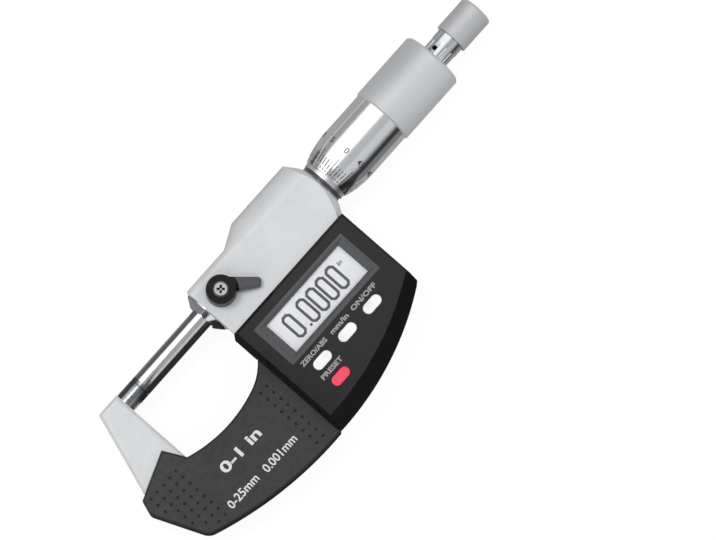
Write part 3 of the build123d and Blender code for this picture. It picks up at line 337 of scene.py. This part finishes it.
def moulded(name, colour, roughness, grain=0.28, depth=0.012, specular=0.5):
    """Plastic from a fine spark-eroded mould."""
    surface = Surface(name, colour, roughness, specular=specular)
    surface.tint(surface.noise(5, 3), 0.9, 1.08)
    surface.rough(surface.noise(1.5, 3), roughness * 0.85, roughness * 1.15)
    surface.bump(surface.noise(grain, 2), depth)
    return surface.material


def rubbery(name, colour):
    surface = Surface(name, colour, 0.75, specular=0.35)
    surface.tint(surface.noise(2, 3), 0.85, 1.15)
    surface.rough(surface.noise(0.8, 2), 0.65, 0.85)
    surface.bump(surface.noise(0.2, 2), 0.01)
    return surface.material


def bezel_frame(name, colour):
    """Moulded frame whose sunk slopes have painted light: a paler base colour, because they catch the
    sky less.
    """
    surface = Surface(name, colour, 0.45)
    sunk = surface.math("LESS_THAN", surface.axes()["Z"], BEZEL_SLOPE_Z * MM)
    # Painted light: the sunk slopes are paler than the rest of the frame
    surface.paint(sunk, linear((78, 80, 82)))
    surface.rough(surface.noise(1.5, 3), 0.38, 0.52)
    surface.bump(surface.noise(0.3, 2), 0.01)
    return surface.material


def clear_pane(name):
    """Clear plastic with a grey mask printed round the view."""
    surface = Surface(name, (240, 242, 244), 0.06)
    printed = surface.outside(WINDOW_VIEW)
    surface.paint(printed, linear((84, 86, 88)))
    surface.feed("Alpha", surface.math("MAXIMUM", printed, 0.05))
    surface.rough(surface.noise(3, 3), 0.04, 0.09)
    surface.bump(surface.noise(6, 1), 0.01)
    surface.material.surface_render_method = "BLENDED"
    return surface.material


def recessed_metal(name, colour, roughness, *recess):
    """Metal whose drilled or milled recesses are darkened with painted shade."""
    surface = Surface(name, colour, roughness, metallic=1.0)
    # Painted shade: the recess keeps only a small share of the base colour
    surface.paint(surface.recess(*recess), surface.shade(RECESS_SHADE_AND_HUB_SHARE))
    surface.rough(surface.noise(0.9, 3), roughness * 0.75, roughness * 1.3)
    surface.bump(surface.noise(0.35, 3), 0.004)
    return surface.material


def thimble_metal(name, colour):
    """Bright front, and a satin grip behind the step."""
    surface = Surface(name, colour, 0.13, metallic=1.0)
    grip = surface.math("GREATER_THAN", surface.axes()["X"], THIMBLE_GRIP_X * MM)
    surface.paint(grip, linear((198, 199, 201)))
    surface.feed("Metallic", surface.pick(grip, 1.0, 0.45))
    streaks = surface.noise(1.8, 3, (0.6, 2, 2))
    bright = surface.math("MULTIPLY_ADD", streaks, 0.08, 0.09)
    satin = surface.math("MULTIPLY_ADD", streaks, 0.2, 0.5)
    surface.feed("Roughness", add_mix(surface.tree, grip, bright, satin))
    surface.bump(surface.noise(0.14, 2, (1, 60, 60)), 0.002)
    surface.bump(surface.math("MULTIPLY", grip, surface.noise(0.25, 2)), 0.02)
    return surface.material


def black_finish(name, colour):
    """Black finish of the lock lever, whose hub is darker than its arm."""
    surface = Surface(name, colour, 0.28, specular=0.14)
    hub = surface.recess(ABOVE_LOCK_Z, LOCK_PLACE, LOCK_HUB_REACH)
    surface.paint(hub, surface.shade(RECESS_SHADE_AND_HUB_SHARE))
    surface.rough(surface.noise(1, 3), 0.22, 0.36)
    surface.bump(surface.noise(0.4, 2), 0.008)
    return surface.material


def liquid_crystal(name, colour):
    surface = Surface(name, colour, 0.25)
    surface.tint(surface.noise(7, 2), 0.97, 1.02)
    surface.rough(surface.noise(4, 2), 0.2, 0.3)
    surface.bump(surface.noise(0.12, 1), 0.002)
    return surface.material


def circuit(name, colour):
    """Green lacquer with copper tracks showing through as lighter lines."""
    surface = Surface(name, colour, 0.35)
    across = surface.ridge(surface.along("X", 1.1))
    along = surface.ridge(surface.along("Y", 1.4))
    tracks = surface.math("GREATER_THAN", surface.math("MAXIMUM", across, along), 0.42)
    surface.paint(tracks, linear((70, 135, 90)))
    surface.rough(surface.noise(1, 2), 0.3, 0.42)
    surface.bump(tracks, 0.02)
    return surface.material


def film(name, colour):
    """Plastic film with the conductors of a flat cable."""
    surface = Surface(name, colour, 0.25)
    surface.tint(surface.ridge(surface.along("X", 0.5)), 0.8, 1.15)
    surface.rough(surface.noise(1, 2), 0.2, 0.32)
    surface.bump(surface.noise(0.5, 2), 0.01)
    return surface.material


def knurled(name, colour, roughness, turns, depth):
    """Metal with straight ridges along the spindle axis, with painted shade in the valleys between them.
    """
    surface = Surface(name, colour, roughness, metallic=0.45)
    ridges = surface.ridge(surface.axis_angle(turns))
    # Painted shade: the colour is darker where the relief of the ridges is low
    surface.tint(ridges, 0.86, 1.05)
    surface.rough(surface.noise(0.8, 3), roughness * 0.85, roughness * 1.2)
    surface.bump(ridges, depth)
    surface.bump(surface.noise(0.2, 2), 0.006)
    return surface.material


def print_ink(name, colour):
    surface = Surface(name, colour, 0.5)
    surface.tint(surface.noise(0.6, 2), 0.93, 1.05)
    surface.rough(surface.noise(0.4, 2), 0.42, 0.58)
    surface.bump(surface.noise(0.15, 1), 0.004)
    return surface.material


def make_slot_materials():
    """The material of each slot in the record, but for slots whose nodes all have their own."""
    return {
        "enamel": cast_enamel("enamel", (204, 206, 208)),
        "polished_steel": turned_metal("polished_steel", (228, 230, 233), 0.12, 0.002, 0.1),
        "hard_metal": turned_metal("hard_metal", (128, 130, 134), 0.3, 0.004, 0.1),
        "satin_chrome": turned_metal("satin_chrome", (212, 214, 216), 0.36, 0.006, 0.16),
        "lever_finish": black_finish("lever_finish", (82, 83, 85)),
        "dark_steel": plain_metal("dark_steel", (95, 96, 98), 0.35),
        "brass": plain_metal("brass", (190, 160, 95), 0.3),
        "housing_plastic": moulded("housing_plastic", (12, 13, 15), 0.3, 0.3, 0.008, 0.27),
        "bezel_plastic": moulded("bezel_plastic", (76, 78, 80), 0.45, 0.3, 0.01),
        "grip_plastic": moulded("grip_plastic", (42, 43, 44), 0.5, 0.25, 0.014, 0.36),
        "clear_plastic": clear_pane("clear_plastic"),
        "lcd_glass": liquid_crystal("lcd_glass", (228, 229, 231)),
        "button_white": moulded("button_white", (240, 240, 240), 0.35, 0.5, 0.004),
        "button_red": moulded("button_red", (235, 60, 85), 0.35, 0.5, 0.004),
        "black_rubber": rubbery("black_rubber", (28, 28, 30)),
        "grey_rubber": rubbery("grey_rubber", (120, 122, 124)),
        "board": circuit("board", (30, 90, 55)),
        "encoder_board": circuit("encoder_board", (40, 100, 62)),
        "cable_film": film("cable_film", (170, 105, 45)),
        "holder_plastic": moulded("holder_plastic", (30, 31, 33), 0.6),
        "cell_steel": plain_metal("cell_steel", (182, 184, 186), 0.22, 0.002),
        "contact_metal": plain_metal("contact_metal", (200, 175, 110), 0.22, 0.002),
    }


def make_own_materials():
    """Materials of the nodes that look different from the rest of their slot."""
    # Painted shade inside the cross of the lock screw and inside the spanner hole of the ratchet neck
    cross = (14.2, LOCK_PLACE, 1.35, 0.3)
    mouth = (126.6, None, 3.66)
    return {
        "ratchet_knob": knurled("knob_metal", (196, 197, 199), 0.5, 60, 0.06),
        "thimble": thimble_metal("thimble_metal", (236, 238, 241)),
        "display_bezel": bezel_frame("bezel_frame", (58, 60, 62)),
        "ratchet_body": recessed_metal("ratchet_metal", (212, 214, 217), 0.16, *mouth),
        "lock_screw": recessed_metal("screw_metal", (148, 150, 153), 0.42, *cross),
        "sleeve_seal": moulded("seal_rubber", (66, 66, 68), 0.25, 0.4, 0.004),
        "anvil": turned_metal("anvil_steel", (152, 154, 158), 0.2, 0.003, 0.1),
    }


def dress_nodes():
    """Every node's material slots take its own material, or that of its slot in the record."""
    of_slot = make_slot_materials()
    own = make_own_materials()
    for part in record["subparts"]:
        node = nodes[part["node"]]
        material = own[part["node"]] if part["node"] in own else of_slot[part["material_slot"]]
        if not node.material_slots:
            node.data.materials.append(material)
        for place in node.material_slots:
            place.material = material


# Pieces made from mesh code

PRINT_THICKNESS = 0.04 * MM
FLAT_PRINT_SUNK = 0.005 * MM
ROUND_PRINT_SUNK = 0.01 * MM
ROUND_PRINT_BOLD = 0.01 * MM
CAPITAL_SHARE = 0.7
NOUGHT_OUTER_CUT = 1.2
NOUGHT_INNER_CUT = 0.55


def in_metres(place_mm):
    return tuple(value * MM for value in place_mm)


def piece(name, work, material, body):
    """An object from the mesh in work, which that body carries, with that material."""
    mesh = bpy.data.meshes.new(name)
    work.normal_update()
    work.to_mesh(mesh)
    work.free()
    mesh.materials.append(material)
    made = bpy.data.objects.new(name, mesh)
    scene.collection.objects.link(made)
    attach(made, body)


def add_prism(work, outline, base_z, top_z):
    """A flat outline as a thin solid."""
    low = [work.verts.new((x, y, base_z)) for x, y in outline]
    high = [work.verts.new((x, y, top_z)) for x, y in outline]
    work.faces.new(high)
    work.faces.new(list(reversed(low)))
    count = len(outline)
    for i in range(count):
        k = (i + 1) % count
        work.faces.new((low[i], low[k], high[k], high[i]))


def cut_corners(centre, size, cut):
    """Corners of a rectangle with its four corners cut off, anticlockwise."""
    x, y = centre
    half_x, half_y = size[0] / 2, size[1] / 2
    return [
        (x + half_x, y + half_y - cut), (x + half_x - cut, y + half_y),
        (x - half_x + cut, y + half_y), (x - half_x, y + half_y - cut),
        (x - half_x, y - half_y + cut), (x - half_x + cut, y - half_y),
        (x + half_x - cut, y - half_y), (x + half_x, y - half_y + cut),
    ]


def add_nought(work, centre, size, width, base_z, top_z):
    """A nought as an eight-sided ring of bars of that width."""
    outside = cut_corners(centre, size, width * NOUGHT_OUTER_CUT)
    inner_size = (size[0] - 2 * width, size[1] - 2 * width)
    inside = cut_corners(centre, inner_size, width * NOUGHT_INNER_CUT)
    for i in range(8):
        k = (i + 1) % 8
        add_prism(work, [outside[i], outside[k], inside[k], inside[i]], base_z, top_z)


def add_square(work, centre, half, base_z, top_z):
    x, y = centre
    corners = [(x - half, y - half), (x + half, y - half), (x + half, y + half), (x - half, y + half)]
    add_prism(work, corners, base_z, top_z)


def letters(words, height, bold):
    """Mesh of one line of plain lettering, centred on the origin, and its width."""
    curve = bpy.data.curves.new("words", "FONT")
    curve.body = words
    curve.size = height / CAPITAL_SHARE
    curve.extrude = PRINT_THICKNESS / 2
    curve.offset = bold
    curve.resolution_u = 3
    text = bpy.data.objects.new("words", curve)
    scene.collection.objects.link(text)
    bpy.context.view_layer.update()
    mesh = bpy.data.meshes.new_from_object(text)
    bpy.data.objects.remove(text)
    bpy.data.curves.remove(curve)
    xs = [vertex.co.x for vertex in mesh.vertices]
    mesh.transform(Matrix.Translation((-(min(xs) + max(xs)) / 2, -height / 2, 0)))
    return mesh, max(xs) - min(xs)


def take_mesh(work, mesh):
    work.from_mesh(mesh)
    bpy.data.meshes.remove(mesh)


def flat_words(work, z, words, centre_mm, height_mm, width_mm, bold_mm):
    """Adds lettering that lies on a flat face at z, stretched to that width."""
    mesh, natural_width = letters(words, height_mm * MM, bold_mm * MM)
    x, y = in_metres(centre_mm)
    placing = Matrix.Translation((x, y, z + PRINT_THICKNESS / 2 - FLAT_PRINT_SUNK))
    mesh.transform(placing @ Matrix.Diagonal((width_mm * MM / natural_width, 1, 1, 1)))
    take_mesh(work, mesh)


def on_cylinder(x, arc, height, radius):
    """Point of a sleeve about the spindle axis: arc round from the top, height proud of it."""
    angle = arc / radius
    r = radius + height
    return Vector((x, r * math.sin(angle), r * math.cos(angle)))


def round_words(work, words, x, angle, height, radius_at, quarter):
    """Adds lettering wrapped on a sleeve at x and angle, turned by quarter turns in its plane."""
    mesh, _ = letters(words, height, ROUND_PRINT_BOLD)
    turn = quarter * math.pi / 2
    cos, sin = round(math.cos(turn)), round(math.sin(turn))
    for vertex in mesh.vertices:
        p = vertex.co
        along, across = cos * p.x - sin * p.y, sin * p.x + cos * p.y
        radius = radius_at(x + along)
        rise = p.z + PRINT_THICKNESS / 2 - ROUND_PRINT_SUNK
        vertex.co = on_cylinder(x + along, angle * radius + across, rise, radius)
    take_mesh(work, mesh)


# Print, with its places and sizes in millimetres

DIGIT_XS = (41.65, 47.55, 51.7, 55.8, 60.05)
DIGIT_Y = -21.9
DIGIT_SIZE = (3.6, 8.3)
DIGIT_BAR = 0.86
DIGIT_RISE = 0.03
POINT_PLACE = (45.1, -25.3)
POINT_HALF = 0.38

# Words, place, height, width and boldness
UNIT_WORDS = ("in", (63.6, -19.5), 1.3, 1.5, 0.04)
BUTTON_WORDS = (
    ("ZERO/ABS", (39.5, -31.2), 1.4, 10.4, 0.07),
    ("mm/in", (50.3, -31.2), 1.4, 7.1, 0.07),
    ("ON/OFF", (60.6, -31.2), 1.4, 10.0, 0.07),
    ("PRESET", (39.5, -38.0), 1.4, 8.2, 0.07),
)
RANGE_WORDS = (
    ("0-1 in", (5.1, -33.65), 3.1, 15.4, 0.13),
    ("0-25mm", (-3.0, -41.95), 2.5, 11.6, 0.06),
    ("0.001mm", (11.9, -42.55), 2.5, 12.8, 0.06),
)


def make_digits(ink):
    work = bmesh.new()
    base_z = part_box("lcd")[1].z
    top_z = base_z + DIGIT_RISE * MM
    for x in DIGIT_XS:
        centre = in_metres((x, DIGIT_Y))
        add_nought(work, centre, in_metres(DIGIT_SIZE), DIGIT_BAR * MM, base_z, top_z)
    add_square(work, in_metres(POINT_PLACE), POINT_HALF * MM, base_z, top_z)
    flat_words(work, base_z, *UNIT_WORDS)
    piece("lcd_digits", work, ink, "fixed")


def make_button_words(ink):
    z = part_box("display_housing")[1].z
    work = bmesh.new()
    for line in BUTTON_WORDS:
        flat_words(work, z, *line)
    piece("button_words", work, ink, "fixed")


def make_range_words(ink):
    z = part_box("grip_cover_front")[1].z
    work = bmesh.new()
    for line in RANGE_WORDS:
        flat_words(work, z, *line)
    piece("range_words", work, ink, "fixed")


# Graduations

THIMBLE_EDGE_X = 80.0 * MM
THIMBLE_FRONT_X = 90.0 * MM
THIMBLE_EDGE_RADIUS = 7.3 * MM
THIMBLE_RADIUS = 9.05 * MM
THIMBLE_DIVISIONS = 50
THIMBLE_MARK_GAP = 0.4 * MM
THIMBLE_MARK_WIDTH = 0.26 * MM
THIMBLE_NUMBER_RUN = 8.6 * MM
THIMBLE_NUMBER_HEIGHT = 1.8 * MM
SLEEVE_RADIUS = 6.92 * MM
SLEEVE_RANGE_MM = 25
SLEEVE_MARK_WIDTH = 0.12 * MM
SLEEVE_LINE_START = 0.3 * MM
SLEEVE_LINE_OVERRUN = 0.5
SLEEVE_MARK_LIFT = 0.01
SLEEVE_HALF_MARK = 1.3 * MM
SLEEVE_HALF_MARK_SHARE = 0.8
SLEEVE_NUMBER_ARC = 3.6 * MM
SLEEVE_NUMBER_HEIGHT = 1.3 * MM
LONG_MARK_EVERY = 5
MARK_STEP = 1.5 * MM
CROSS_MARK_STEPS = 4

# Corners of a graduation line's section: side, and height above the sleeve
MARK_CORNERS = ((-1, -0.02 * MM), (-1, 0.012 * MM), (1, 0.012 * MM), (1, -0.02 * MM))


def thimble_radius(x):
    """Radius of the thimble's front, which an arc brings down to its edge."""
    drop = THIMBLE_RADIUS - THIMBLE_EDGE_RADIUS
    run = THIMBLE_FRONT_X - THIMBLE_EDGE_X
    arc = (run * run + drop * drop) / (2 * drop)
    short = min(run, max(0, THIMBLE_FRONT_X - x))
    return THIMBLE_RADIUS - arc + math.sqrt(arc * arc - short * short)


def sleeve_radius(_):
    """Radius of the scale sleeve, the same at every x."""
    return SLEEVE_RADIUS


def add_bar(work, rows):
    """A solid bar through rows of four corners."""
    rings = [[work.verts.new(point) for point in row] for row in rows]
    for a, b in zip(rings, rings[1:]):
        for i in range(4):
            k = (i + 1) % 4
            work.faces.new((a[i], a[k], b[k], b[i]))
    work.faces.new(rings[0][::-1])
    work.faces.new(rings[-1])


def add_long_mark(work, x0, x1, angle, width, radius_at):
    """A graduation line along the sleeve, from x0 to x1, that follows its radius."""
    steps = max(1, int(abs(x1 - x0) / MARK_STEP))
    rows = []
    for i in range(steps + 1):
        x = x0 + (x1 - x0) * i / steps
        radius = radius_at(x)
        arcs = [(angle * radius + side * width / 2, rise) for side, rise in MARK_CORNERS]
        rows.append([on_cylinder(x, arc, rise, radius) for arc, rise in arcs])
    add_bar(work, rows)


def add_cross_mark(work, x, angle, arc_length):
    """A graduation line round the scale sleeve at x, centred on angle."""
    half_width = SLEEVE_MARK_WIDTH / 2
    rows = []
    for i in range(CROSS_MARK_STEPS + 1):
        arc = angle * SLEEVE_RADIUS + arc_length * (i / CROSS_MARK_STEPS - 0.5)
        rows.append(
            [on_cylinder(x + side * half_width, arc, rise, SLEEVE_RADIUS) for side, rise in MARK_CORNERS]
        )
    add_bar(work, rows)


def make_thimble_marks(ink):
    work = bmesh.new()
    start = THIMBLE_EDGE_X + THIMBLE_MARK_GAP
    angles = [2 * math.pi * i / THIMBLE_DIVISIONS for i in range(THIMBLE_DIVISIONS)]
    for i, angle in enumerate(angles):
        length = (3.6 if i % LONG_MARK_EVERY else 5.4) * MM
        add_long_mark(work, start, start + length, angle, THIMBLE_MARK_WIDTH, thimble_radius)
    for i in range(0, THIMBLE_DIVISIONS, LONG_MARK_EVERY):
        x = start + THIMBLE_NUMBER_RUN
        round_words(work, str(i), x, angles[i], THIMBLE_NUMBER_HEIGHT, thimble_radius, 3)
    piece("thimble_marks", work, ink, "spindle_and_thimble")


def make_sleeve_marks(ink):
    """Millimetre scale on the fixed sleeve, which the thimble uncovers as it backs out."""
    work = bmesh.new()
    low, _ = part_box("scale_sleeve")
    line_start = low.x + SLEEVE_LINE_START
    line_end = THIMBLE_EDGE_X + (SLEEVE_RANGE_MM + SLEEVE_LINE_OVERRUN) * MM
    add_long_mark(work, line_start, line_end, 0, SLEEVE_MARK_WIDTH, sleeve_radius)
    for i in range(SLEEVE_RANGE_MM + 1):
        x = THIMBLE_EDGE_X + i * MM
        length = (1.6 if i % LONG_MARK_EVERY else 2.4) * MM
        angle = length / SLEEVE_RADIUS / 2 + SLEEVE_MARK_LIFT
        add_cross_mark(work, x, angle, length)
        if i < SLEEVE_RANGE_MM:
            add_cross_mark(work, x + 0.5 * MM, -angle * SLEEVE_HALF_MARK_SHARE, SLEEVE_HALF_MARK)
        if i % LONG_MARK_EVERY == 0:
            number_angle = SLEEVE_NUMBER_ARC / SLEEVE_RADIUS
            round_words(work, str(i), x, number_angle, SLEEVE_NUMBER_HEIGHT, sleeve_radius, 0)
    piece("sleeve_marks", work, ink, "fixed")


# Studio

FLOOR_HALF = 3.0
FLOOR_COLOUR = (0.9, 0.9, 0.9, 1)
FLOOR_GLOW = 1.05
FLOOR_GLOW_SHARE = 0.86
CARD_LIFT_MM = 0.1

# Cards on the floor, in millimetres: span along X, span along Y, grey
FLOOR_CARDS = {
    # face_card and bow_card lie on the floor under and below the micrometer: for reflections they are
    # painted shadow of the micrometer, and a dark studio floor further out
    "face_card": ((-2.5, 79), (-130, -3), 0.03),
    "bow_card": ((-45, -2.5), (-130, -22), 0.03),
    "low_end_card": ((-600, 900), (-3000, -130), 0.04),
    "thimble_low_card": ((79, 160), (-130, -28), 0.2),
    "thimble_near_card": ((79, 160), (-28, -3), 0.4),
    "spindle_card": ((-4, 75), (30, 300), 0.1),
    "bush_card": ((-10, 26), (3, 30), 0.26),
    "neck_card": ((26, 75), (3, 30), 0.1),
    "thimble_high_card": ((75, 160), (8, 400), 0.4),
    "anvil_card": ((-60, -4), (2, 300), 0.25),
}

# Cards in the air, in millimetres: two edges, each as (start x, end x, y, z), and a grey
HUNG_CARDS = {
    "spindle_flag": ((-12, 42, 25, -11), (-12, 42, 25, 17), 0.12),
    "spindle_sky": ((-30, 42, -70, 100), (-30, 42, 17, 100), 0.42),
    "grip_low_sky": ((113, 132, -46, 6), (113, 132, -14, 32), 0.95),
    "grip_high_sky": ((111, 132, 12, 32), (111, 132, 44, 6), 0.2),
    # throat_card stands in front of the bow's inner wall in the throat: painted shade of that wall, as
    # the spindle's reflection shows it
    "throat_card": ((-2, 30, -22.5, -9), (-2, 30, -22.5, 14), 0.03),
    "neck_flag": ((14, 28.5, -8, -9), (14, 28.5, -8, 2.4), 0.03),
    "anvil_flag": ((-2, 3.6, -25, 12), (8, 13, -25, 90), 0.08),
}

# Greys of the sky round the X axis, in degrees from the zenith towards +Y
MIRRORED_SKY = (
    (-128, 0.9), (-118, 0.04), (-80, 0.04), (-62, 0.62), (-40, 0.66), (-32, 0.5),
    (-8, 0.55), (0, 1.3), (54, 1.3), (64, 0.36), (105, 0.36), (125, 0.9),
)
SCATTERED_SKY = (
    (-128, 0.8), (-110, 0.3), (-70, 0.95), (-10, 1.05),
    (15, 0.7), (60, 0.35), (105, 0.25), (125, 0.8),
)

# The mirrored sky fades to this share of itself towards both ends of the X axis
SKY_ENDS = ((0.72, 1), (0.88, 0.1))


def stage_sheet(name, corners):
    """A flat piece of the studio, and the emptied node tree of its material."""
    work = bmesh.new()
    work.faces.new([work.verts.new(corner) for corner in corners])
    mesh = bpy.data.meshes.new(name)
    work.to_mesh(mesh)
    work.free()
    material = bpy.data.materials.new(name)
    material.use_nodes = True
    material.node_tree.nodes.clear()
    mesh.materials.append(material)
    sheet = bpy.data.objects.new(name, mesh)
    scene.collection.objects.link(sheet)
    return sheet, material.node_tree


def make_floor():
    """Pale floor that shows white, with the soft shadow of the micrometer."""
    z = cad_box[0].z
    sides = ((-1, -1), (1, -1), (1, 1), (-1, 1))
    _, tree = stage_sheet("floor", [(x * FLOOR_HALF, y * FLOOR_HALF, z) for x, y in sides])
    matt = add_node(tree, "ShaderNodeBsdfDiffuse", {"Color": FLOOR_COLOUR}).outputs[0]
    glow = add_node(tree, "ShaderNodeEmission", {"Color": WHITE, "Strength": FLOOR_GLOW}).outputs[0]
    shown = add_shader_mix(tree, FLOOR_GLOW_SHARE, matt, glow)
    ray = add_node(tree, "ShaderNodeLightPath", {}).outputs
    direct = add_math(tree, "MAXIMUM", ray["Is Camera Ray"], ray["Is Glossy Ray"])
    seen = add_math(tree, "MAXIMUM", direct, ray["Is Transmission Ray"])
    surface = add_shader_mix(tree, seen, matt, shown)
    add_node(tree, "ShaderNodeOutputMaterial", {"Surface": surface})


def add_sky(tree, share, greys):
    return add_ramp(tree, share, [(degrees / 360 + 0.5, grey) for degrees, grey in greys])


def make_world():
    """White where the camera sees it. Reflections show softboxes, and matt surfaces a tilted sky."""
    world = bpy.data.worlds.new("studio")
    scene.world = world
    world.use_nodes = True
    tree = world.node_tree
    tree.nodes.clear()
    axes = add_axes(tree, add_node(tree, "ShaderNodeTexCoord", {}).outputs["Generated"])
    angle = add_math(tree, "ARCTAN2", axes["Y"], axes["Z"])
    share = add_math(tree, "MULTIPLY_ADD", angle, 1 / (2 * math.pi), 0.5)
    ends = add_ramp(tree, add_math(tree, "ABSOLUTE", axes["X"]), SKY_ENDS)
    softboxes = add_sky(tree, share, MIRRORED_SKY)
    mirrored = add_mix(tree, 1.0, softboxes, ends, data_type="RGBA", blend_type="MULTIPLY")
    scattered = add_sky(tree, share, SCATTERED_SKY)
    ray = add_node(tree, "ShaderNodeLightPath", {}).outputs
    sky = add_mix(tree, ray["Is Diffuse Ray"], mirrored, scattered, data_type="RGBA")
    light = add_node(tree, "ShaderNodeBackground", {"Color": sky, "Strength": 1.0}).outputs[0]
    white = add_node(tree, "ShaderNodeBackground", {"Color": WHITE, "Strength": 1.0}).outputs[0]
    surface = add_shader_mix(tree, ray["Is Camera Ray"], light, white)
    add_node(tree, "ShaderNodeOutputWorld", {"Surface": surface})


def make_card(name, low_edge_mm, high_edge_mm, grey):
    """A dark or bright card that only reflections show, as studios put beside bright metal; some dark
    ones are painted shade, as the card tables say.
    """
    x0, x1, y, z = in_metres(low_edge_mm)
    far_x0, far_x1, far_y, far_z = in_metres(high_edge_mm)
    corners = [(x0, y, z), (x1, y, z), (far_x1, far_y, far_z), (far_x0, far_y, far_z)]
    card, tree = stage_sheet(name, corners)
    glow = add_node(tree, "ShaderNodeEmission", {"Color": (grey, grey, grey, 1)}).outputs[0]
    add_node(tree, "ShaderNodeOutputMaterial", {"Surface": glow})
    card.visible_camera = False
    card.visible_diffuse = False
    card.visible_shadow = False
    card.visible_transmission = False


def make_cards():
    floor_mm = cad_box[0].z / MM + CARD_LIFT_MM
    for name, (x_span, y_span, grey) in FLOOR_CARDS.items():
        make_card(name, (*x_span, y_span[0], floor_mm), (*x_span, y_span[1], floor_mm), grey)
    for name, card in HUNG_CARDS.items():
        make_card(name, *card)


def make_lamp(name, place, power, size):
    data = bpy.data.lights.new(name, "AREA")
    data.shape = "DISK"
    data.size = size
    data.energy = power
    lamp = bpy.data.objects.new(name, data)
    scene.collection.objects.link(lamp)
    lamp.location = place
    aim = CAMERA_TARGET - Vector(place)
    lamp.rotation_mode = "QUATERNION"
    lamp.rotation_quaternion = aim.to_track_quat("-Z", "Y")


make_camera()
make_world()
make_floor()
make_cards()
make_lamp("key", (-0.08, 0.32, 1.0), 3.0, 0.25)
dress_nodes()
dark_ink = print_ink("dark_ink", (34, 35, 38))
make_digits(print_ink("segment_ink", (44, 46, 50)))
make_button_words(print_ink("soft_ink", (152, 152, 152)))
make_range_words(print_ink("pale_ink", (214, 214, 214)))
make_thimble_marks(dark_ink)
make_sleeve_marks(dark_ink)
scene.view_settings.view_transform = "Standard"
